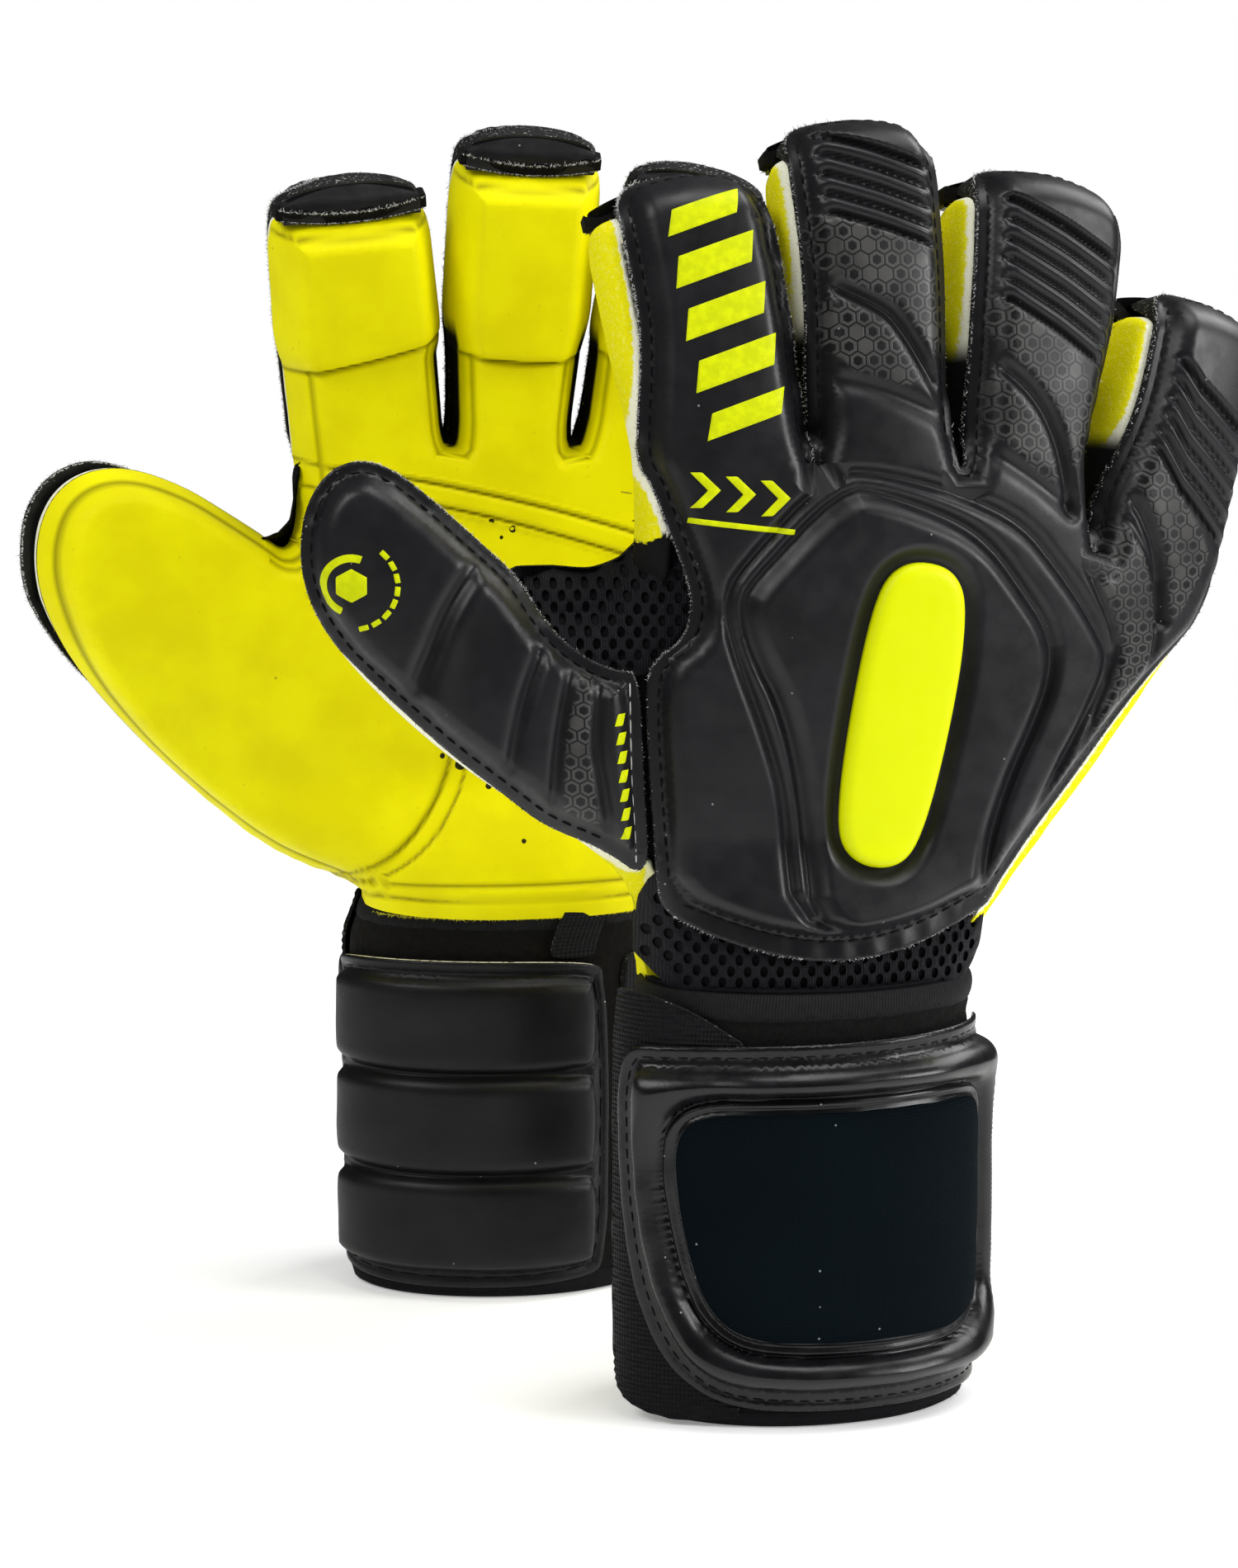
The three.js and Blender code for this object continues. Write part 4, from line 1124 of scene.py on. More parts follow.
def spacer_sheet(hand, mats, name, outline, drop, node, over, depth):
    """A sheet of knitted mesh with cloth behind it. It curves over to a depth along the line named over."""
    outline = resample(chaikin(np.array(outline, float), 2), 1.0)
    holes = mesh_holes(outline, 0.8)
    flat = FlatMesh(outline, (0, 0.6), 1.2, holes=holes)
    p = flat.points
    near = np.full(len(p), 9.0)
    for hole in holes:
        c = hole.mean(0)
        close = np.abs(p - c).max(1) < 4
        near[close] = np.minimum(near[close], np.linalg.norm((p[close] - c) / (0.95, 1.3), axis=1))

    def base(p):
        return depth + (hand.carrier(p) - drop - depth) * rise(distance_to(p, over, closed=False), 9)

    front = base(p) - 0.45 * bell(near - 0.85, 0.35)
    obj = panel(hand.place, flat, front, front - 1.1, [(0, f"{hand.name}_{name}")], [mats["spacer"]], rim=0)[0]
    hand.attach(obj, 0, "spacer_mesh")
    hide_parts(f"{hand.name}_{node}")
    flat = FlatMesh(outline, (0, 0.6), 2.0)
    behind = base(flat.points) - 1.5
    pieces = [(0, f"{hand.name}_{name}_backing")]
    hand.attach(panel(hand.place, flat, behind, behind - 0.5, pieces, [mats["lining"]], rim=0)[0], 0, "lining_fabric")


WEB_OUTLINE = {
    "right": [(-68, 187), (-62, 175), (-54, 168), (-44, 163), (-34, 165.5), (-26, 171), (-24, 180), (-27, 190),
              (-31, 196), (-37, 193), (-40.5, 188.5), (-47, 186), (-57, 187)],
    "left": [(-66, 183.5), (-62, 174), (-54, 166), (-44, 162), (-39, 170), (-40, 182), (-46, 194), (-51, 204),
             (-54, 201), (-54.5, 193), (-55.5, 187), (-60, 184)],
}
WEB_TOP = {
    "right": [(-62, 185.5), (-56, 186.5), (-48, 185.5), (-41, 188), (-36, 193)],
    "left": [(-64, 183), (-59, 184.5), (-55.5, 188), (-54, 196), (-52.5, 204)],
}
WRIST_MESH = [(-38.4, 91), (37.3, 91), (37.6, 118), (30, 122), (-30, 122), (-38.6, 121)]
WRIST_MESH_SIDE = [(-38.4, 88), (-38.6, 126)]


def build_meshes(hand, mats):
    g = hand.name
    spacer_sheet(hand, mats, "web_mesh", WEB_OUTLINE[g], 1.6, "thumb_web_mesh", WEB_TOP[g], -5.0)
    spacer_sheet(hand, mats, "wrist_mesh_sheet", WRIST_MESH, 0.6, "wrist_mesh", WRIST_MESH_SIDE, -1.0)


# ---------------------------------------------------------------- the cuff
def cuff_piece(place, g, name, body, slot, nodes, outline, rings, spacing, front, back, materials, soft=None,
               bend=None):
    """A piece on the cuff. It rides on one body, or, when given two bend angles, is baked in place and left
    unattached.
    """
    flat = FlatMesh(outline, rings, spacing)
    top = front(flat.points)
    low = np.minimum(back(flat.points), top - 0.15)
    obj = panel(place, flat, top, low, [(0, f"{g}_{name}")], materials, on="cuff", attributes={"edge": flat.depth})[0]
    if bend:
        start, end = (tuple(place.cuff(cuff_arc(degrees), 45, 3.0)) for degrees in bend)
        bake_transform(obj)
        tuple(start)
        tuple(end)
    else:
        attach(obj, f"{g}_{body}")
    if nodes:
        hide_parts(*[f"{g}_{n}" for n in nodes])
    return obj


def box_outline(a0, a1, z0, z1, step=1.2, corner=0.0):
    points = np.array([(a0, z0), (a1, z0), (a1, z1), (a0, z1)], float)
    if corner:
        cut = []
        for k in range(4):
            p, before, after = points[k], points[k - 1], points[(k + 1) % 4]
            cut.append(p + corner * (before - p) / np.linalg.norm(before - p))
            cut.append(p + corner * (after - p) / np.linalg.norm(after - p))
        points = chaikin(np.array(cut), 3)
    return resample(points, step)


def wavy(points, seed, size, amount):
    """Gentle unevenness from a few waves."""
    rng = np.random.default_rng(seed)
    total = np.zeros(len(points))
    for _ in range(5):
        direction = rng.normal(size=2)
        direction /= np.linalg.norm(direction)
        total += np.sin(points @ direction * 2 * math.pi / (size * rng.uniform(0.6, 1.6)) + rng.uniform(0, 6.28))
    return amount * total / 2.2


STAND_OFF = {"right": 5.6, "left": 1.0}  # how far the strap's free end stands off the cuff
STAND_OFF_ARC = (cuff_arc(126), cuff_arc(170))


def cuff_shape(corners, rounds=2, step=0.8):
    """A smooth outline on the cuff, from corners in degrees round it and height."""
    return resample(chaikin(np.array([(cuff_arc(a), z) for a, z in corners]), rounds), step)


def level(value):
    return lambda points: np.full(len(points), value)


STRAP_EDGE = cuff_shape([
    (-4, 4.5), (-4, 85.5), (20, 86.5), (60, 86), (110, 85.5), (150, 84.5), (158, 84.3), (163.5, 81), (166, 75),
    (166, 62), (163.5, 46), (158.5, 31), (150, 18), (140, 10), (127, 5.6), (105, 4.2), (60, 4), (20, 4),
])
WINDOW_EDGE = cuff_shape([
    (26, 23.5), (22, 31), (21.5, 58), (23.5, 66.4), (30, 70.4), (60, 71.2), (112, 70.8), (132, 70.2), (140, 67),
    (142, 60), (140, 48), (135, 34), (129.6, 26), (120, 21.3), (106, 19.8), (60, 19.2), (40, 19.6),
])
HOOK_EDGE = cuff_shape([(118, 3), (118, 85), (128, 88.5), (140, 92.5), (152, 95.2), (168, 96.2), (172, 95),
                        (172.5, 60), (172, 12), (168, 5), (150, 1.6), (132, 1.2)], 1, 0.9)
ROOT_EDGE = box_outline(cuff_arc(-46), cuff_arc(9), 7, 83, 1.0, corner=3)
ROOT_BEND = (-12, 6)  # two angles round the cuff given as the strap root's bend; the root is not bent, only left unattached
PAD_START, PAD_END = cuff_arc(176), cuff_arc(307)
PAD_TOP = 83.5
PAD_EDGE = box_outline(PAD_START, PAD_END, 3, PAD_TOP, 0.8, corner=6)
CUSHIONS = [
    box_outline(PAD_START + 5.0, PAD_END - 5.2, low, high, 1.5, corner=2.2)
    for low, high in ((7.6, 29.8), (31.8, 54.6), (56.6, 78.8))
]
SLEEVE_TOP = 97
TAB_EDGE = box_outline(cuff_arc(283), cuff_arc(301), PAD_TOP, SLEEVE_TOP, 0.8, corner=1.2)
SEAM_RINGS = (0, 0.35, 0.9, 1.7)  # how far in from a padded edge its first rings of points lie


def build_cuff(hand, mats):
    g, place = hand.name, hand.place
    fine = 0.8
    around = (cuff_arc(0), cuff_arc(360))

    def off(p):
        return STAND_OFF[g] * smoothstep(*STAND_OFF_ARC, p[:, 0])

    def make(*args, **kw):
        return cuff_piece(place, g, *args, **kw)

    def crowned(p, middle, half):
        return np.sqrt(np.maximum(0, 1 - ((p[:, 1] - middle) / half) ** 2))

    sleeve = make(
        "sleeve_fabric", "hand", "lining_fabric", ["cuff_sleeve", "hand_lining"],
        box_outline(*around, 0.0, SLEEVE_TOP, 1.6), (0, 0.8), 1.8,
        lambda p: 0.3 + 2.1 * crowned(p, 3.2, 3.2) * (p[:, 1] < 6.4)
        + 0.2 * (p[:, 1] > 6.4) + wavy(p, 3, 30, 0.12),
        level(-1.3), [mats["lining"], mats["lining"]],
    )
    make(
        "loop_fabric_band", "hand", "loop_fabric", ["loop_band"], box_outline(*around, 5.5, 92, 1.2), (0, 0.5, 1.1),
        1.1, lambda p: 1.85 + wavy(p, 5, 3.2, 0.14) + wavy(p, 6, 26, 0.16), level(0.5),
        [mats["velour"], mats["velour"]],
    )
    make(
        "cuff_binding", "hand", "lining_fabric", [], box_outline(*around, 90.2, 96.2, 0.9), (0, 0.5, 1.1, 1.8), 1.0,
        lambda p: 1.2 + 1.35 * crowned(p, 93.2, 3.1) + wavy(p, 8, 22, 0.1),
        level(0.5), [mats["binding"], mats["binding"]],
    )

    def strap_front(p):
        edge = signed_distance(p, STRAP_EDGE)
        gap = -signed_distance(p, WINDOW_EDGE)
        tube = np.minimum(edge - 4.8, gap - 3.6)
        out = 4.1 + wavy(p, 11, 14, 0.1)
        out = out + (4.9 + wavy(p, 12, 19, 0.16)) * rise(tube, 5.4) ** 1.05 * (tube > 0)
        out = out + 0.9 * np.clip((3.6 - gap) / 0.8, 0, 1) * (edge > 5)
        out -= 0.9 * bell(gap - 3.1, 0.42) + 0.9 * bell(gap - 0.9, 0.42)
        out -= 0.45 * bell(edge - 2.4, 0.4)
        return out - 0.5 * (1 - rise(edge, 0.6)) + off(p)

    def lifted(p):
        return 1.5 * smoothstep(76, 84, p[:, 1])

    def palm_pad_front(p):
        edge = signed_distance(p, PAD_EDGE)
        out = 3.7 + wavy(p, 21, 16, 0.1) - 0.5 * (1 - rise(edge, 0.6)) + lifted(p)
        out -= 0.4 * bell(edge - 2.6, 0.4)
        out = out + 0.9 * rise(edge - 4.2, 1.0)
        for cushion in CUSHIONS:
            c = signed_distance(p, cushion)
            out = out + 1.9 * rise(c, 3.4) + 0.5 * rise(c, 9) - 0.5 * bell(c + 1.1, 0.4)
        return out

    hand.strap_front, hand.pad_front = strap_front, palm_pad_front
    make(
        "strap_foam_frame", "strap", "strap_foam", ["strap_pad"], STRAP_EDGE, (*SEAM_RINGS, 2.5, 3.4, 4.4, 5.2),
        fine * 0.8, strap_front, lambda p: 3.25 + off(p), [mats["leather"], mats["raw_black"]], soft=0.85,
    )
    make(
        "strap_knit_window", "strap", "knit_fabric", ["strap_panel"], WINDOW_EDGE, (0, 0.4, 0.9, 1.6, 2.4), fine,
        lambda p: 4.9 + 1.5 * rise(signed_distance(p, WINDOW_EDGE), 9) + wavy(p, 14, 26, 0.14) + off(p),
        lambda p: 4.0 + off(p), [mats["knit"], mats["knit"]], soft=0.5,
    )
    make(
        "strap_hook_webbing", "strap", "webbing", ["hook_strip"], HOOK_EDGE, (0, 0.5, 1.1), fine,
        lambda p: 3.0 + 0.16 * np.sin((p[:, 1] + 0.22 * p[:, 0]) * 2 * math.pi / 1.9) + off(p),
        lambda p: 2.15 + off(p), [mats["hook"], mats["raw_black"]],
    )
    make(
        "strap_root_webbing", "hand", "webbing", ["strap_root"], ROOT_EDGE, (0, 0.5, 1.1), fine,
        lambda p: 3.7 - 0.7 * smoothstep(cuff_arc(-7), cuff_arc(-2), p[:, 0])
        + 0.1 * np.abs(np.sin(p[:, 1] * math.pi / 2.1)) + wavy(p, 17, 20, 0.1),
        level(2.2), [mats["webbing"], mats["raw_black"]], bend=ROOT_BEND,
    )
    make(
        "pull_tab_webbing", "hand", "webbing", ["pull_tab"], TAB_EDGE, (0, 0.5), 0.8,
        lambda p: 3.4 + 0.2 * np.abs(np.sin(p[:, 1] * math.pi / 1.7)), level(2.4),
        [mats["webbing"], mats["raw_black"]],
    )
    make(
        "wrist_pad_foam", "hand", "strap_foam", ["palm_pad"], PAD_EDGE, (*SEAM_RINGS, 2.6, 3.6, 4.6, 5.4), fine,
        palm_pad_front, lambda p: 2.3 + lifted(p),
        [mats["pad_skin"], mats["raw_gold" if g == "left" else "raw_black"]], soft=0.85,
    )


# ---------------------------------------------------------------- badge, prints, sewing and loose fibres
class Flats:
    """Several flat meshes taken as one."""

    def __init__(self, flats):
        offsets = np.cumsum([0] + [len(f.points) for f in flats[:-1]])
        self.points = np.vstack([f.points for f in flats])
        self.tris = np.vstack([f.tris + k for f, k in zip(flats, offsets)])
        self.depth = np.concatenate([f.depth for f in flats])


def print_shapes(hand, mats, name, outlines, height, lift, material="print", side=1, spacing=0.7,
                 slot="badge_rubber"):
    """Thin raised shapes that follow a surface."""
    flat = Flats([FlatMesh(resample(o, 0.5), (0, 0.25), spacing) for o in outlines])
    base = height(flat.points)
    front = base + side * lift * (0.35 + 0.65 * rise(flat.depth, 0.3))
    labels = np.unique(hand.split(flat.points[flat.tris].mean(1)))
    pieces = [(k, f"{hand.name}_{BODIES[k]}_{name}") for k in labels]
    objs = panel(hand.place, flat, front, base - side * 0.35, pieces, [mats[material]], hand.split, rim=0)
    for (label, _), obj in zip(pieces, objs):
        hand.attach(obj, label, slot)


def bar(x, z, width, height, slant=0.0, turn=0.0):
    """A slanted bar about (x, z)."""
    w, h = width / 2, height / 2
    p = np.array([(-w - slant, -h), (w - slant, -h), (w + slant, h), (-w + slant, h)], float)
    c, s = math.cos(math.radians(turn)), math.sin(math.radians(turn))
    return p @ np.array([[c, s], [-s, c]]) + (x, z)


def ring_sector(x, z, inner, outer, start, end):
    a = np.radians(np.linspace(start, end, max(4, int((end - start) / 8))))
    out = np.stack([np.cos(a), np.sin(a)], -1)
    return np.vstack([out * outer, out[::-1] * inner]) + (x, z)


def build_badge(hand, mats):
    outline = hand.badge_outline(step=0.6)
    flat = FlatMesh(outline, (0, 0.3, 0.8, 1.5, 2.3, 3.2), 0.9)
    base = hand.back_height(flat.points)
    crown = 1.9 * rise(flat.depth, 2.6) + 0.5 * rise(flat.depth, 9)
    pieces = [(0, f"{hand.name}_badge")]
    obj = panel(hand.place, flat, base + 1.1 + crown, base - 0.5, pieces, [mats["badge"]], rim=0)[0]
    hand.attach(obj, 0, "badge_rubber")
    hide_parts(f"{hand.name}_back_badge")


# the index finger's bars: height along the finger, width and height
BARS = ((52.5, 15.5, 7.0), (42.8, 17.0, 8.0), (32.4, 17.5, 8.0), (22.0, 17.5, 8.0), (11.8, 16.5, 7.0))
SPOTS = (  # specks on the palm: place and radius
    (-15.7, 129.8, 1.3), (-20.2, 132.3, 0.7), (-13.2, 132.8, 0.5), (-8.8, 124.6, 0.8), (-6.3, 136.8, 2.9),
    (-8, 188, 0.7), (-2.7, 186, 0.9), (-5.5, 184, 0.5), (2, 124, 1.2), (8, 117, 0.9), (21, 131, 1.9),
    (29, 128, 1.0), (-1, 112, 0.6), (14, 170, 0.9), (30, 160, 1.1), (5, 158, 0.7),
)


def build_prints(hand, mats):
    index = hand.fingers["index"]
    lean = math.degrees(math.atan2(index.along[0], index.along[1]))
    shapes = []
    for s, width, tall in BARS:
        centre = index.point(s, 5.0 if hand.name == "right" else 0.5)
        shapes.append(bar(*centre, width, tall - 2.2, 1.4, -lean + 9))
    print_shapes(hand, mats, "bars", shapes, hand.back_height, 0.3)
    shift = hand.panels["shift"]
    shapes = []
    for k in range(3):
        x, z = -26.5 + 7.2 * k + shift, 203.4 - 0.9 * k
        shapes.append(np.array([(x - 2.6, z - 3.4), (x - 0.2, z - 3.4), (x + 3.6, z), (x - 0.2, z + 3.6),
                                (x - 2.6, z + 3.6), (x + 1.0, z)], float))
    shapes.append(bar(-18.5 + shift, 196.2, 22, 1.1, 0, -7))
    print_shapes(hand, mats, "chevrons", shapes, hand.back_height, 0.3)
    x, z = hand.thumb_line([(-97.5, 184.5)])[0]

    def around(radius, a):
        return x + radius * math.cos(math.radians(a)), z + radius * math.sin(math.radians(a))

    shapes = [ring_sector(x, z, 5.0, 6.6, 70, 250), np.array([around(3.6, a) for a in range(30, 390, 60)])]
    shapes += [bar(*around(9.3, a), 2.0, 1.1, 0, a + 90) for a in range(-75, 60, 17)]
    print_shapes(hand, mats, "ring", shapes, hand.thumb_height, 0.25)
    shapes = [bar(-43.4 - 0.02 * (zz - 143), zz, 1.8, 2.6, 0.5, 4) for zz in np.arange(130.5, 157, 4.1)]
    shapes = [hand.thumb_line(s) for s in shapes]
    print_shapes(hand, mats, "dashes", shapes, hand.thumb_height, 0.25)
    rng = np.random.default_rng(41)
    shapes = []
    a = np.linspace(0, 2 * math.pi, 13)[:-1]
    shift = SPOT_SHIFT[hand.name]
    for x, z, r in SPOTS:
        wobble = r * rng.uniform(0.88, 1.12, 12)
        shapes.append(np.stack([x + shift + wobble * np.cos(a), z + wobble * np.sin(a)], -1))
    print_shapes(hand, mats, "spots", shapes, hand.palm.height, 0.06, "spot", -1, 0.8, "palm_latex")


def frames(direction):
    """Two unit vectors square to each direction."""
    direction = direction / np.maximum(1e-12, np.linalg.norm(direction, axis=1))[:, None]
    helper = np.where(np.abs(direction[:, 2:]) < 0.8, (0, 0, 1), (1, 0, 0))
    u = np.cross(direction, helper)
    u /= np.linalg.norm(u, axis=1)[:, None]
    return u, np.cross(direction, u)


def capsules(starts, ends, radius, sides=6):
    """Vertices and triangles of many small capsules."""
    u, v = frames(ends - starts)
    shares, sizes = (0.12, 0.5, 0.88), (0.75, 1.0, 0.75)
    turn = np.linspace(0, 2 * math.pi, sides + 1)[:-1]
    rings = []
    for share, size in zip(shares, sizes):
        centre = starts + share * (ends - starts)
        for a in turn:
            rings.append(centre + radius * size * (math.cos(a) * u + math.sin(a) * v))
    verts = np.stack([starts] + rings + [ends], 1)
    tris = []
    for k in range(sides):
        j = (k + 1) % sides
        tris.append((0, 1 + k, 1 + j))
        for r in range(2):
            a, b = 1 + r * sides + k, 1 + r * sides + j
            tris += [(a, a + sides, b + sides), (a, b + sides, b)]
        tris.append((1 + 2 * sides + k, 1 + 3 * sides, 1 + 2 * sides + j))
    return bodies(verts, np.array(tris))


def bodies(verts, tris):
    """Vertices and outward faces of many closed bodies that share one list of triangles."""
    count = verts.shape[1]
    faces = (tris[None] + count * np.arange(len(verts))[:, None, None]).reshape(-1, 3)
    verts = verts.reshape(-1, 3)
    a, b, c = (verts[faces[: len(tris), k]] for k in range(3))
    volume = np.einsum("ij,ij->i", a - a[0], np.cross(b - a[0], c - a[0])).sum()
    return verts, faces if volume > 0 else faces[:, ::-1]


TRIANGLE = (0, 2.0944, 4.1888)  # a triangle's corners, in radians


class Sewing:
    """Collects stitches or fibres, and makes one object for each body they lie on."""

    def __init__(self, hand, material, name, slot, rng):
        self.hand, self.material, self.name, self.slot, self.rng = hand, material, name, slot, rng
        self.parts = {}

    def collect(self, where, body, make):
        """Keeps the bodies that make builds from a choice of them, for each label that they lie on."""
        labels = self.hand.split(where) if body is None else np.full(len(where), -1)
        for label in np.unique(labels):
            self.parts.setdefault((int(label), body), []).append(make(labels == label))

    def stitches(self, line, height, length=2.3, gap=0.9, radius=0.26, lift=0.02, on="hand", closed=False, body=None):
        line = resample(line, 0.25, closed)
        step = np.linalg.norm(line[1] - line[0])
        pitch = int(round((length + gap) / step))
        first = np.arange(0, len(line) - pitch, pitch)
        a, b = line[first], line[first + int(round(length / step))]
        to_world = getattr(self.hand.place, on)
        ha, hb = height(a) + lift, height(b) + lift
        starts, ends = to_world(a[:, 0], a[:, 1], ha), to_world(b[:, 0], b[:, 1], hb)
        self.collect((a + b) / 2, body, lambda k: capsules(starts[k], ends[k], radius * MM))

    def fibres(self, line, height, thickness, density, length, radius, closed=False, on="hand", body=None, lean=0.35,
               keep=None):
        """Hairs that stand out from an edge. The edge's outer side is on the right of the line."""
        rng = self.rng
        line = resample(line, 0.2, closed)
        count = int(len(line) * 0.2 * density)
        if count < 1:
            return
        pick = rng.integers(1, len(line) - 1, count)
        normals = -edge_normals(line, closed)[pick]
        along = np.stack([-normals[:, 1], normals[:, 0]], -1)
        root = line[pick] - normals * 0.25
        reach = rng.uniform(*length, count) * rng.uniform(0.5, 1.0, count)
        tip = root + normals * (reach * rng.uniform(0.35, 1.0, count))[:, None]
        tip += along * (reach * rng.normal(0, 0.7, count))[:, None]
        if keep is not None:
            chosen = keep(root)
            root, tip, reach = root[chosen], tip[chosen], reach[chosen]
            count = len(root)
            if not count:
                return
        n0 = height(root) - thickness * rng.uniform(0, 1, count)
        n1 = n0 + reach * rng.normal(0, lean, count)
        to_world = getattr(self.hand.place, on)
        a = to_world(root[:, 0], root[:, 1], n0)
        b = to_world(tip[:, 0], tip[:, 1], n1)
        u, v = frames(b - a)
        size = radius * MM * rng.uniform(0.6, 1.3, count)[:, None]
        corners = [a + size * (math.cos(t) * u + math.sin(t) * v) for t in TRIANGLE]
        verts = np.stack(corners + [b], 1)
        tris = np.array([(0, 1, 3), (1, 2, 3), (2, 0, 3), (0, 2, 1)])
        self.collect(root, body, lambda k: bodies(verts[k], tris))

    def finish(self):
        for (label, body), parts in self.parts.items():
            offsets = np.cumsum([0] + [len(v) for v, _ in parts[:-1]])
            verts = np.vstack([v for v, _ in parts])
            faces = np.vstack([f + k for (_, f), k in zip(parts, offsets)])
            where = body or BODIES[label]
            obj = triangle_object(f"{self.hand.name}_{where}_{self.name}", verts, faces, [self.material])
            if body:
                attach(obj, f"{self.hand.name}_{body}")
            else:
                self.hand.attach(obj, label, self.slot)


def turned(outline):
    """The outline, anticlockwise."""
    return outline if signed_area(outline) > 0 else outline[::-1]


def inset_line(outline, depth):
    """A line that runs inside a closed outline at one depth."""
    outline = turned(outline)
    moved = outline + edge_normals(outline) * depth
    good = distance_to(moved, outline) > depth - 0.12
    return moved[good]


def runs(line, keep):
    """The stretches of a line where keep holds."""
    mask = keep(line)
    pieces, current = [], []
    for point, good in zip(line, mask):
        if good:
            current.append(point)
        elif current:
            pieces.append(np.array(current))
            current = []
    if current:
        pieces.append(np.array(current))
    return [p for p in pieces if len(p) > 8]


def strip_lines(finger, across):
    """How far up a finger the upper and lower edges of its tip strip lie. The strip sags in the middle."""
    top = finger.length - PALM_TIP_INSET
    sag = 1.9 * (across / finger.half(top)) ** 2
    return top + 0.9 + sag, top - 1.6 + 0.8 * sag


def build_tip_strips(hand, mats):
    """The frayed cloth strip that stands over each finger's latex, and the foam that fills the tip behind it."""
    rng = np.random.default_rng(17)
    for label, (name, finger) in enumerate(hand.fingers.items(), 1):
        top = finger.length - PALM_TIP_INSET
        half = float(finger.half(top)) - 1.0

        def piece(kind, lower, upper, rings, spacing, height, thickness, material, slot):
            flat = FlatMesh(resample(np.vstack([lower, upper[::-1]]), 0.6), rings, spacing)
            front = height(*finger.local(flat.points))
            obj = panel(hand.place, flat, front, front + thickness, [(label, f"{hand.name}_{name}_{kind}")],
                        [mats[material]], lambda centres: np.full(len(centres), label), rim=0)[0]
            hand.attach(obj, label, slot)

        def strip_height(s, a):
            wave = np.sin(a * 0.55 + 2 * (label - 1)) * smoothstep(top - 1, top + 2, s)
            return -7.0 - 2.0 * (1 - (a / half) ** 2) + 0.5 * wave

        def foam_height(s, a):
            up = np.clip((s - top + 1.2) / (PALM_TIP_INSET + 1.6), 0, 1)
            return -7.6 - 1.3 * (1 - (a / half) ** 2) + 3.6 * up**2 - 0.35 * bell(up - 0.55, 0.12)

        across = np.linspace(-half, half, 40)
        high, low = strip_lines(finger, across)
        wave = 0.5 * np.sin(across * 0.5 + label - 1) + rng.uniform(-0.3, 0.3, 40)
        piece("tip_strip", finger.point(low, across), finger.point(high + wave, across), (0, 0.4), 0.8, strip_height,
              5.4, "velour", "lining_fabric")
        across = np.linspace(1.5 - half, half - 1.5, 40)
        lower = finger.point(np.full(40, top - 1.2), across)
        upper = finger.point(finger.length + 0.5 - 0.012 * across**2, across)
        piece("tip_foam", lower, upper, (0, 0.4, 1.0), 0.9, foam_height, 3.0, "foam", "back_foam")


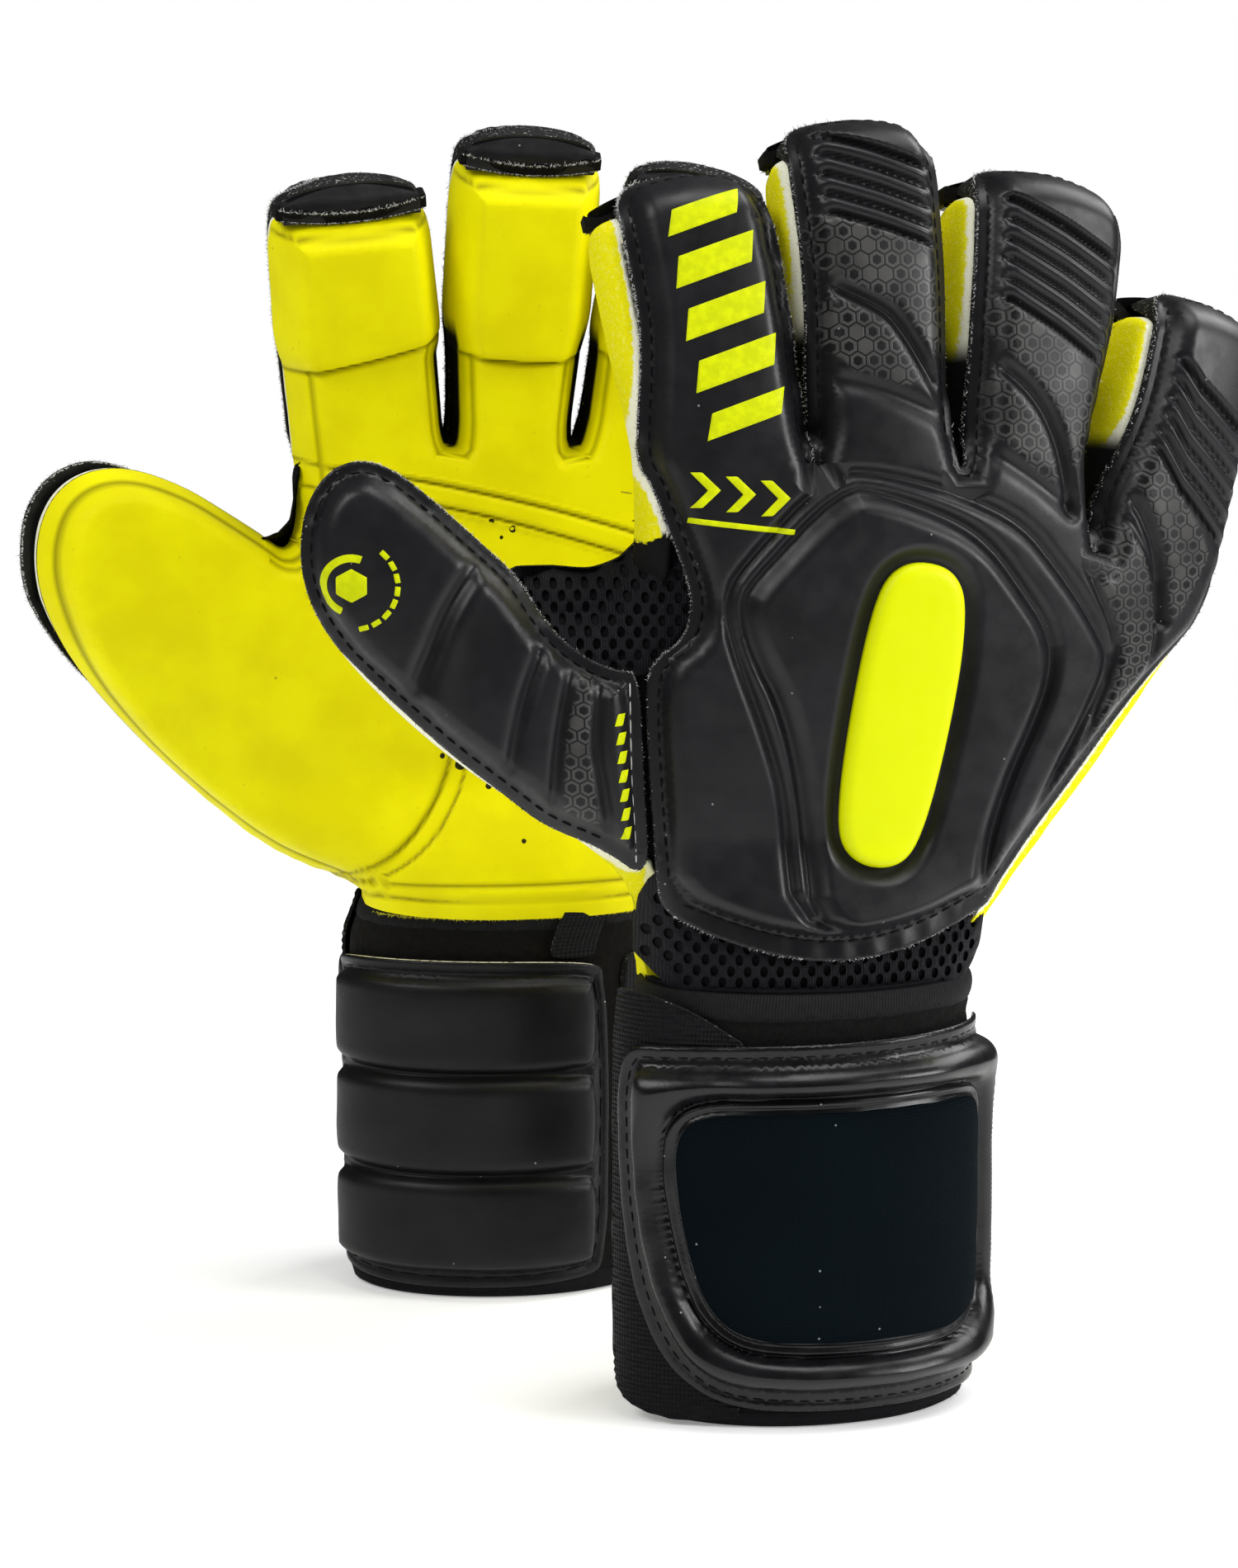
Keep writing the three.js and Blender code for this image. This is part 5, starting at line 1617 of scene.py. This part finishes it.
def build_sewing(hand, mats):
    g = hand.name
    rng = np.random.default_rng(SEWING_SEEDS[g])
    black = Sewing(hand, mats["thread_black"], "stitches_black", "lining_fabric", rng)
    yellow = Sewing(hand, mats["thread_yellow"], "stitches_yellow", "palm_latex", rng)
    white = Sewing(hand, mats["thread_white"], "stitches_white", "lining_fabric", rng)
    pale = Sewing(hand, mats["fibre_white"], "fibres_pale", "lining_fabric", rng)
    dark = Sewing(hand, mats["fibre_black"], "fibres_dark", "lining_fabric", rng)
    gold = Sewing(hand, mats["fibre_yellow"], "fibres_yellow", "palm_latex", rng)

    back, thumb = hand.back_height, hand.thumb_height
    for line in runs(inset_line(hand.back_edge, 2.2), lambda p: p[:, 1] > 118):
        black.stitches(line, back)
    share = np.linspace(0.02, 0.98, 60)
    black.stitches(back_hem(share, 4.2), back, 2.4, 0.9, 0.3)
    for line in runs(inset_line(hand.thumb_edge, 2.2), lambda p: p[:, 0] < -45):
        black.stitches(line, thumb)
    seam_x = hand.panels["thumb"][1][0]
    seam = [(seam_x - 2.4, 163.0), (seam_x - 2.7, 140.0), (seam_x - 1.9, 120.0)]
    white.stitches(np.array(seam), thumb, 3.2, 0.7, 0.2)

    def on_palm(p):
        return hand.palm.height(p) - 0.25

    for line in hand.palm.cross:
        yellow.stitches(line[(line[:, 0] > -50) & (line[:, 0] < 78)], on_palm, 2.0, 1.0, 0.24)
    for arc in hand.palm.arcs:
        yellow.stitches(arc[arc[:, 1] > 103], lambda p: hand.palm.height(p) - 0.2, 2.0, 1.0, 0.22)
    for z in HEM_LINES:
        yellow.stitches(np.array([(-36, z), (36.5, z)], float), on_palm, 2.0, 1.0, 0.24)
    edge = turned(hand.back_edge)

    def left_side(p):
        labels = hand.split(p)
        side = np.zeros(len(p), bool)
        for k, finger in enumerate(hand.fingers.values()):
            _, a = finger.local(p)
            side |= (labels == k + 1) & (a < -6)
        return side

    pale.fibres(edge, back, 1.2, 5, (0.4, 1.3), 0.10, closed=True, keep=left_side)
    dark.fibres(edge, back, 1.2, 5, (0.5, 1.6), 0.09, closed=True, keep=left_side)
    pale.fibres(edge, back, 1.2, 1.2, (0.3, 0.9), 0.09, closed=True)
    dark.fibres(edge, back, 1.2, 2.0, (0.3, 1.1), 0.09, closed=True)
    pale.fibres(edge, back, 1.2, 6, (0.3, 1.2), 0.10, closed=True,
                keep=lambda p: (p[:, 1] < 113) & (np.sin(p[:, 0] * 0.37) > -0.55))
    side = np.array(hand.panels["hand_side"], float)[3:]
    pale.fibres(smooth_line(side)[::-1], back, 1.2, 6, (0.3, 1.0), 0.10)
    rim = turned(hand.thumb_edge)
    pale.fibres(rim, thumb, 1.2, 2.0, (0.3, 1.0), 0.09, closed=True)
    dark.fibres(rim, thumb, 1.2, 3.0, (0.3, 1.3), 0.09, closed=True)
    pale.fibres(rim, thumb, 2.0, 9.0, (0.3, 1.2), 0.10, closed=True,
                keep=lambda p: (p[:, 1] > 176) & (p[:, 0] > -104 + 0.2 * (p[:, 1] - 176)))
    if g == "left":
        pale.fibres(rim, thumb, 2.4, 10.0, (0.4, 1.4), 0.10, closed=True,
                    keep=lambda p: (p[:, 0] < -92) & (p[:, 1] > 150))
    for k, finger in enumerate(hand.fingers.values()):
        half = float(finger.half(finger.length - PALM_TIP_INSET)) - 1.6
        across = np.linspace(half, -half, 30)
        line = finger.point(strip_lines(finger, across)[0], across)

        def strip(points, finger=finger, half=half):
            return -6.4 - 2.0 * (1 - (finger.local(points)[1] / (half + 1)) ** 2)

        pale.fibres(line, strip, 1.6, 7, (0.4, 1.3), 0.10)
        dark.fibres(line, strip, 3.2, 10, (0.4, 1.5), 0.10)
        lower = finger.point(strip_lines(finger, -across)[1], -across)
        pale.fibres(lower, lambda p: strip(p) - 0.9, 0.4, 6, (0.3, 0.9), 0.09)
        dark.fibres(lower, lambda p: strip(p) - 0.9, 0.6, 7, (0.4, 1.2), 0.09)
    gold.fibres(turned(hand.palm.sides), level(0.5), 1.5, 1.6, (0.3, 0.9), 0.09, lean=0.5)
    pale.fibres(edge, back, 1.2, 9, (0.4, 1.5), 0.11, closed=True,
                keep=lambda p: (hand.split(p) == 1) & (hand.fingers["index"].local(p)[1] < -6))
    bottom = np.array([(-36.5, PALM_BOTTOM), (36.5, PALM_BOTTOM)], float)
    gold.fibres(bottom, lambda p: hand.palm.height(p) + 1.2, 1.2, 8, (0.4, 1.3), 0.10)
    for line in runs(inset_line(STRAP_EDGE, 2.3), lambda p: p[:, 0] > cuff_arc(2)):
        black.stitches(line, hand.strap_front, 2.5, 0.9, 0.28, on="cuff", body="strap")
    dark.fibres(turned(STRAP_EDGE), hand.strap_front, 0.7, 3, (0.3, 1.0), 0.08, closed=True, on="cuff",
                body="strap")
    black.stitches(inset_line(PAD_EDGE, 2.5), hand.pad_front, 2.5, 0.9, 0.28, on="cuff", body="hand", closed=True)
    loops = np.array([(cuff_arc(2), 91.6), (cuff_arc(358), 91.6)])
    dark.fibres(loops[::-1], level(2.3), 1.2, 7, (0.4, 1.6), 0.08, on="cuff", body="hand", lean=0.6)
    hem_line = np.array([(cuff_arc(2), 1.0), (cuff_arc(358), 1.0)])
    dark.fibres(hem_line, level(2.0), 1.6, 3, (0.3, 0.9), 0.08, on="cuff", body="hand")
    for work in (black, yellow, white, pale, dark, gold):
        work.finish()


# ---------------------------------------------------------------- materials
ROOT_3 = 1.7320508


class Nodes:
    """A short way to wire one material."""

    def __init__(self, name, color, roughness, specular, **shader):
        self.material = bpy.data.materials.new(name)
        self.material.use_nodes = True
        self.tree = self.material.node_tree
        self.shader = self.tree.nodes["Principled BSDF"]
        self.set("Base Color", (*color, 1))
        self.set("Roughness", roughness)
        self.set("Specular IOR Level", specular)
        for key, value in shader.items():
            self.set(key.replace("_", " "), value)
        self.bumps = []

    def set(self, socket, value):
        self.shader.inputs[socket].default_value = value

    def node(self, kind, inputs=None, **settings):
        node = self.tree.nodes.new(kind)
        for key, value in settings.items():
            setattr(node, key, value)
        for key, value in (inputs or {}).items():
            if isinstance(value, bpy.types.NodeSocket):
                self.tree.links.new(value, node.inputs[key])
            else:
                node.inputs[key].default_value = value
        return node

    def math(self, operation, *values, clamp=False):
        return self.node("ShaderNodeMath", dict(enumerate(values)), operation=operation, use_clamp=clamp).outputs[0]

    def vector(self, operation, *values):
        node = self.node("ShaderNodeVectorMath", dict(enumerate(values)), operation=operation)
        return node.outputs["Value" if operation in ("DOT_PRODUCT", "LENGTH") else "Vector"]

    def objects(self):
        return self.node("ShaderNodeTexCoord").outputs["Object"]

    def flat(self, scale=1.0):
        """Flat millimetres times scale."""
        uv = self.node("ShaderNodeUVMap", uv_map="flat").outputs[0]
        return self.vector("MULTIPLY", uv, (100 * scale,) * 3)

    def noise(self, size_mm, detail=2.0, vector=None, roughness=0.5):
        """Noise whose blobs measure about size_mm."""
        inputs = {"Vector": vector or self.objects(), "Scale": (1000 if vector is None else 1) / size_mm,
                  "Detail": detail, "Roughness": roughness}
        return self.node("ShaderNodeTexNoise", inputs).outputs["Fac"]

    def attribute(self, name):
        return self.node("ShaderNodeAttribute", attribute_name=name).outputs["Fac"]

    def ramp(self, value, low, high, a=0.0, b=1.0):
        return self.node("ShaderNodeMapRange", {"Value": value, "From Min": low, "From Max": high, "To Min": a,
                                                "To Max": b}, interpolation_type="SMOOTHSTEP").outputs[0]

    def blotch(self, size_mm, detail, low, high, a=0.0, b=1.0):
        """Noise, turned into values from a to b."""
        return self.ramp(self.noise(size_mm, detail), low, high, a, b)

    def wave(self, scale, distortion, direction, **more):
        """Bands of yarn across the flat map."""
        inputs = {"Vector": self.flat(), "Scale": scale, "Distortion": distortion, **more}
        return self.node("ShaderNodeTexWave", inputs, bands_direction=direction).outputs["Fac"]

    def specks(self, scale, rare, low, high, amount):
        """How strongly each place is a sparse round speck."""
        cells = self.node("ShaderNodeTexVoronoi", {"Vector": self.objects(), "Scale": scale}).outputs
        chance = self.node("ShaderNodeSeparateColor", {0: cells["Color"]}).outputs[0]
        near = self.ramp(cells["Distance"], low, high, amount, 0.0)
        return self.math("MULTIPLY", self.math("GREATER_THAN", chance, rare), near)

    def mix(self, factor, a, b):
        node = self.node("ShaderNodeMix", data_type="RGBA")
        for key, value in (("Factor", factor), ("A", a), ("B", b)):
            socket = [s for s in node.inputs if s.name == key and s.enabled][0]
            if isinstance(value, bpy.types.NodeSocket):
                self.tree.links.new(value, socket)
            else:
                socket.default_value = value if key == "Factor" else (*value, 1)
        return [s for s in node.outputs if s.enabled][0]

    def link(self, value, socket):
        self.tree.links.new(value, self.shader.inputs[socket])

    def bump(self, height, depth_mm, strength=1.0):
        inputs = {"Height": height, "Distance": depth_mm * MM, "Strength": strength}
        if self.bumps:
            inputs["Normal"] = self.bumps[-1]
        out = self.node("ShaderNodeBump", inputs).outputs[0]
        self.bumps.append(out)
        self.link(out, "Normal")

    def hexagons(self, pitch):
        """Distance from the middle of the nearest hexagon, in shares of its half width, and its own random number."""
        size, half = (1, ROOT_3, 1), (0.5, ROOT_3 / 2, 0)
        p = self.vector("ADD", self.flat(1 / pitch), (200, 200 * ROOT_3, 0))
        a = self.vector("SUBTRACT", self.vector("MODULO", p, size), half)
        b = self.vector("SUBTRACT", self.vector("MODULO", self.vector("ADD", p, half), size), half)
        nearer = self.math("LESS_THAN", self.vector("LENGTH", a), self.vector("LENGTH", b))
        node = self.node("ShaderNodeMix", data_type="VECTOR")
        for key, value in (("Factor", nearer), ("A", b), ("B", a)):
            self.tree.links.new(value, [s for s in node.inputs if s.name == key and s.enabled][0])
        cell = [s for s in node.outputs if s.enabled][0]
        folded = self.vector("ABSOLUTE", cell)
        x = self.node("ShaderNodeSeparateXYZ", {0: folded}).outputs["X"]
        distance = self.math("MAXIMUM", x, self.vector("DOT_PRODUCT", folded, half))
        centre = self.vector("SUBTRACT", p, cell)
        chance = self.node("ShaderNodeTexWhiteNoise", {"Vector": self.vector("SNAP", centre, (0.25, 0.25, 1))},
                           noise_dimensions="3D").outputs["Value"]
        return self.math("MULTIPLY", distance, 2.0), chance


def dust(m, color, amount, bright=(0.5, 0.5, 0.5)):
    """Sparse pale specks of lint on a colour."""
    return m.mix(m.specks(LINT, 0.9, 0.05, 0.09, amount), color, bright)


CLOTH = (  # key, name, colour, roughness, specular, mottling, its two colours, waves and noise of the bumps
    ("lining", "lining_black", (0.007, 0.007, 0.008), 0.85, 0.08, (2.0, 3.0), (0.003, 0.003, 0.004),
     (0.008, 0.008, 0.009), [(0.32, 0.6, "Y", 0.12, 0.7)], [(0.4, 2.0, 0.06)]),
    ("spacer", "spacer_black", (0.004, 0.004, 0.005), 0.6, 0.12, (0.7, 3.0), (0.002, 0.002, 0.003),
     (0.009, 0.009, 0.012), [(0.55, 2.5, "X", 0.18, 0.8)], [(0.3, 2.0, 0.1)]),
    ("binding", "binding_black", (0.006, 0.006, 0.007), 0.7, 0.12, (1.5, 3.0), (0.004, 0.004, 0.005),
     (0.012, 0.012, 0.013), [(0.42, 0.4, "X", 0.2, 0.9)], []),
    ("hook", "hook_black", (0.004, 0.004, 0.005), 0.42, 0.09, (1.2, 3.0), (0.002, 0.002, 0.003),
     (0.008, 0.008, 0.009), [(0.39, 0.3, "X", 0.28, 0.8), (0.30, 0.3, "Y", 0.28, 0.8)], []),
    ("webbing", "webbing_black", (0.004, 0.004, 0.005), 0.55, 0.09, (1.2, 3.0), (0.002, 0.002, 0.003),
     (0.008, 0.008, 0.009), [(0.26, 0.3, "X", 0.28, 0.8), (0.338, 0.3, "Y", 0.28, 0.8)], []),
)
THREADS = {
    "thread_black": (0.006, 0.006, 0.007), "thread_white": (0.6, 0.6, 0.57), "thread_yellow": (0.55, 0.47, 0.01),
    "fibre_yellow": (0.80, 0.74, 0.05), "spot": (0.02, 0.018, 0.004), "fibre_white": (0.7, 0.7, 0.68),
    "fibre_black": (0.01, 0.01, 0.01),
}


def make_materials():
    mats = {}
    # soft moulded foam of the back, with printed hexagons
    m = Nodes("foam_black", (0.006, 0.006, 0.007), 0.5, 0.3)
    mask = m.attribute("hex")
    distance, chance = m.hexagons(HEX_PITCH)
    ring = m.math("MULTIPLY", m.ramp(distance, 0.52, 0.58), m.ramp(distance, 0.86, 0.92, 1.0, 0.0))
    full = m.math("MULTIPLY", m.math("GREATER_THAN", chance, 0.82), m.ramp(distance, 0.86, 0.92, 1.0, 0.0))
    print_mask = m.math("MULTIPLY", m.math("MAXIMUM", ring, full), mask)
    worn = m.blotch(9.0, 3.0, 0.3, 0.6, 0.55, 1.0)
    tone = m.blotch(24.0, 3.0, 0.35, 0.65)
    body = m.mix(tone, (0.0050, 0.0050, 0.0060), (0.0075, 0.0075, 0.0090))
    body = m.mix(mask, body, (0.0045, 0.0045, 0.005))
    body = m.mix(m.math("MULTIPLY", print_mask, worn), body, (0.046, 0.045, 0.043))
    edge = m.ramp(m.attribute("edge"), 3.0, 3.6, 0.55, 0.0)
    body = m.mix(edge, body, (0.004, 0.004, 0.005))
    m.link(dust(m, body, 0.35), "Base Color")
    m.link(m.blotch(5.0, 4.0, 0.3, 0.7, 0.34, 0.44), "Roughness")
    m.bump(m.noise(0.35, 2.0), 0.03, 0.6)
    m.bump(m.noise(6.0, 3.0), 0.12, 0.5)
    m.bump(print_mask, 0.05, 0.7)
    mats["foam"] = m.material
    # cut edge of black foam, with its pale backing cloth
    m = Nodes("raw_edge_black", (0.02, 0.02, 0.02), 0.9, 0.2)
    fibre = m.noise(0.9, 4.0, roughness=0.7)
    m.link(m.mix(m.ramp(fibre, 0.58, 0.66), (0.008, 0.008, 0.008), (0.28, 0.28, 0.26)), "Base Color")
    m.bump(m.noise(0.4, 3.0), 0.25)
    mats["raw_black"] = m.material
    # yellow latex
    m = Nodes("latex_yellow", (0.76, 0.71, 0.0), 0.6, 0.07)
    tone = m.blotch(16.0, 4.0, 0.3, 0.7)
    body = m.mix(tone, (0.70, 0.64, 0.0), (0.78, 0.735, 0.0))
    stain = m.blotch(1.4, 3.0, 0.70, 0.78, 0.0, 0.35)
    body = m.mix(stain, body, (0.45, 0.40, 0.01))
    body = m.mix(m.specks(210.0, 0.94, 0.04, 0.08, 0.7), body, (0.10, 0.09, 0.02))
    # painted shade: the latex turns dark olive in the seam grooves, as deep as each groove
    body = m.mix(m.math("MULTIPLY", m.attribute("seam"), 0.72), body, (0.16, 0.13, 0.0))
    body = m.mix(m.math("MULTIPLY", m.attribute("pale"), 0.85), body, (0.80, 0.76, 0.50))
    # painted shade: the latex's rolled side turns black in the lower part of the gaps between the fingers
    painted_gap_shade = m.math("MULTIPLY", m.attribute("cloth"), m.ramp(m.attribute("edge"), 1.4, 2.0, 1.0, 0.0))
    m.link(m.mix(painted_gap_shade, body, (0.006, 0.006, 0.006)), "Base Color")
    m.link(m.blotch(3.0, 3.0, 0.3, 0.7, 0.5, 0.65), "Roughness")
    m.bump(m.noise(0.5, 3.0), 0.06, 0.6)
    m.bump(m.noise(4.0, 3.0), 0.10, 0.4)
    mats["latex"] = m.material
    # the latex's pale cut edge and inner side, painted black as shade in the lower part of the gaps between the
    # fingers
    m = Nodes("raw_edge_latex", (0.8, 0.75, 0.3), 0.9, 0.04)
    body = m.mix(m.blotch(1.0, 4.0, 0.5, 0.7), (0.74, 0.69, 0.005), (0.77, 0.73, 0.06))
    rim = m.ramp(m.math("MULTIPLY_ADD", m.noise(1.2, 3.0), 1.4, m.attribute("bare")), 1.6, 2.2, 0.9, 0.0)
    rim = m.math("MULTIPLY", rim, m.attribute("roll"))
    body = m.mix(rim, body, (0.82, 0.82, 0.70))
    # painted shade: black in the lower part of the gaps between the fingers
    m.link(m.mix(m.attribute("cloth"), body, (0.008, 0.008, 0.008)), "Base Color")
    m.bump(m.noise(0.4, 3.0), 0.25)
    mats["raw_latex"] = m.material
    for key, name, color, roughness, specular, mottling, low, high, waves, noises in CLOTH:
        m = Nodes(name, color, roughness, specular)
        m.link(m.mix(m.noise(*mottling), low, high), "Base Color")
        for scale, distortion, direction, depth, strength in waves:
            m.bump(m.wave(scale, distortion, direction), depth, strength)
        for size, detail, depth in noises:
            m.bump(m.noise(size, detail), depth)
        mats[key] = m.material
    # fuzzy loops
    m = Nodes("loop_black", (0.006, 0.006, 0.006), 0.95, 0.05, Sheen_Weight=0.02)
    m.link(m.mix(m.noise(0.8, 4.0), (0.002, 0.002, 0.002), (0.010, 0.0095, 0.009)), "Base Color")
    m.bump(m.noise(0.45, 4.0, roughness=0.7), 0.4)
    mats["velour"] = m.material
    # glossy moulded strap frame, like creased leather
    m = Nodes("strap_leather", (0.004, 0.004, 0.005), 0.32, 0.30)
    body = m.mix(m.blotch(12.0, 3.0, 0.3, 0.7), (0.002, 0.002, 0.0026), (0.004, 0.004, 0.005))
    m.link(dust(m, body, 0.45), "Base Color")
    m.link(m.blotch(6.0, 3.0, 0.3, 0.7, 0.25, 0.33), "Roughness")
    grain = m.node("ShaderNodeTexVoronoi", {"Vector": m.objects(), "Scale": 900.0}, feature="DISTANCE_TO_EDGE")
    m.bump(grain.outputs["Distance"], 0.04, 0.3)
    m.bump(m.noise(2.4, 3.0), 0.09, 0.35)
    mats["leather"] = m.material
    # matt skin and pale piping of the wrist pad
    m = Nodes("pad_black", (0.004, 0.004, 0.005), 0.42, 0.2)
    body = m.mix(m.blotch(12.0, 3.0, 0.3, 0.7), (0.002, 0.002, 0.0026), (0.0045, 0.0045, 0.0055))
    m.link(dust(m, body, 0.4), "Base Color")
    m.bump(m.noise(0.5, 3.0), 0.06, 0.6)
    m.bump(m.noise(5.0, 3.0), 0.15, 0.5)
    mats["pad_skin"] = m.material
    m = Nodes("raw_edge_gold", (0.55, 0.48, 0.22), 0.8, 0.2)
    m.link(m.mix(m.blotch(1.0, 4.0, 0.34, 0.5), (0.10, 0.09, 0.06), (0.80, 0.76, 0.58)), "Base Color")
    m.bump(m.noise(0.4, 3.0), 0.2)
    mats["raw_gold"] = m.material
    # ribbed knit of the strap's window
    m = Nodes("knit_teal_black", (0.003, 0.005, 0.007), 0.85, 0.03)
    rib = m.wave(0.42, 0.8, "Y", Detail=1.0)
    body = m.mix(m.noise(20.0, 3.0), (0.0014, 0.0032, 0.0046), (0.0024, 0.0052, 0.0072))
    body = m.mix(m.ramp(rib, 0.0, 0.5, 0.5, 0.0), body, (0.0015, 0.0035, 0.005))
    m.link(dust(m, body, 0.5, (0.4, 0.45, 0.45)), "Base Color")
    m.bump(rib, 0.16, 0.9)
    m.bump(m.wave(0.5, 1.2, "X"), 0.08, 0.6)
    mats["knit"] = m.material
    # sewing threads and loose fibres
    for name, color in THREADS.items():
        m = Nodes(name, color, 0.6, 0.1)
        m.link(m.mix(m.noise(1.0, 2.0), tuple(0.6 * c for c in color), color), "Base Color")
        m.bump(m.noise(0.3, 2.0), 0.05)
        mats[name] = m.material
    # yellow rubber badge and raised prints
    m = Nodes("badge_yellow", (0.7, 0.75, 0.0), 0.42, 0.12)
    m.link(m.mix(m.noise(14.0, 2.0), (0.58, 0.64, 0.0), (0.63, 0.69, 0.0)), "Base Color")
    m.link(m.blotch(3.0, 3.0, 0.3, 0.7, 0.34, 0.46), "Roughness")
    m.bump(m.noise(0.5, 2.0), 0.03, 0.5)
    mats["badge"] = m.material
    m = Nodes("print_yellow", (0.6, 0.66, 0.0), 0.5, 0.1)
    m.link(m.mix(m.blotch(2.0, 4.0, 0.35, 0.7), (0.48, 0.54, 0.0), (0.58, 0.645, 0.0)), "Base Color")
    m.bump(m.noise(0.35, 2.0), 0.04, 0.6)
    mats["print"] = m.material
    return mats


# ---------------------------------------------------------------- floor, light and camera
STAGE_HALF = 1.2
LIGHTS = (  # name, place, aim, size, power
    ("key", (-0.95, -0.75, 1.25), (0, 0, 0.14), 0.7, 12),
    ("side", (1.25, -0.45, 0.65), (0, 0, 0.15), 0.6, 14),
    ("top", (0.3, -0.2, 1.5), (0, 0, 0.15), 0.7, 9.5),
    ("rim", (0.95, 0.6, 1.15), (0, 0, 0.18), 0.8, 12),
)
AMBIENT = 0.40
SEEN, REFLECTED = 1.0, 0.10  # how bright the surroundings are to the camera, and in glossy reflections
CAMERA_PLACE = (-0.0002, -0.9508, 0.280)
CAMERA_DIP = 8.96  # degrees below level
CAMERA_LENS = 95.5


def build_stage():
    floor = Nodes("floor_pale", (0.9, 0.9, 0.9), 0.5, 0.2, Emission_Color=(1, 1, 1, 1), Emission_Strength=0.22)
    floor.link(floor.mix(floor.noise(300.0, 3.0), (0.90, 0.90, 0.905), (0.93, 0.93, 0.93)), "Base Color")
    tree = floor.tree
    clear = floor.node("ShaderNodeBsdfTransparent").outputs[0]
    away = floor.ramp(floor.vector("LENGTH", floor.objects()), 0.35, 1.1)
    fade = floor.node("ShaderNodeMixShader", {0: away, 1: floor.shader.outputs[0], 2: clear}).outputs[0]
    tree.links.new(fade, tree.nodes["Material Output"].inputs["Surface"])
    corners = np.array([(-1, -1, 0), (1, -1, 0), (1, 1, 0), (-1, 1, 0)])
    triangle_object("floor", STAGE_HALF * corners, np.array([(0, 1, 2), (0, 2, 3)]), [floor.material])
    world = bpy.data.worlds.new("studio")
    bpy.context.scene.world = world
    world.use_nodes = True
    tree = world.node_tree
    background = tree.nodes["Background"]
    background.inputs["Color"].default_value = (1, 1, 1, 1)
    rays = tree.nodes.new("ShaderNodeLightPath")
    level = None
    for ray, strength in (("Is Camera Ray", SEEN), ("Is Glossy Ray", REFLECTED)):
        choice = tree.nodes.new("ShaderNodeMapRange")
        choice.inputs["To Min"].default_value = AMBIENT
        choice.inputs["To Max"].default_value = strength
        tree.links.new(rays.outputs[ray], choice.inputs["Value"])
        if level is not None:
            tree.links.new(level, choice.inputs["To Min"])
        level = choice.outputs[0]
    tree.links.new(level, background.inputs["Strength"])
    for name, place, aim, size, power in LIGHTS:
        data = bpy.data.lights.new(name, "AREA")
        data.shape = "SQUARE"
        data.size = size
        data.energy = power
        light = bpy.data.objects.new(name, data)
        light.location = place
        light.rotation_euler = (Vector(aim) - Vector(place)).to_track_quat("-Z", "Y").to_euler()
        bpy.context.scene.collection.objects.link(light)
    data = bpy.data.cameras.new("camera")
    data.lens = CAMERA_LENS
    data.sensor_width = 36
    camera = bpy.data.objects.new("camera", data)
    camera.location = CAMERA_PLACE
    camera.rotation_euler = (math.radians(90 - CAMERA_DIP), 0, 0)
    bpy.context.scene.collection.objects.link(camera)
    bpy.context.scene.camera = camera
    bpy.context.scene.view_settings.view_transform = "Standard"


materials = make_materials()
build_stage()
for glove in HANDS.values():
    for build in (build_back, build_palm, build_lining, build_meshes, build_cuff, build_badge, build_prints,
                  build_tip_strips, build_sewing):
        build(glove, materials)
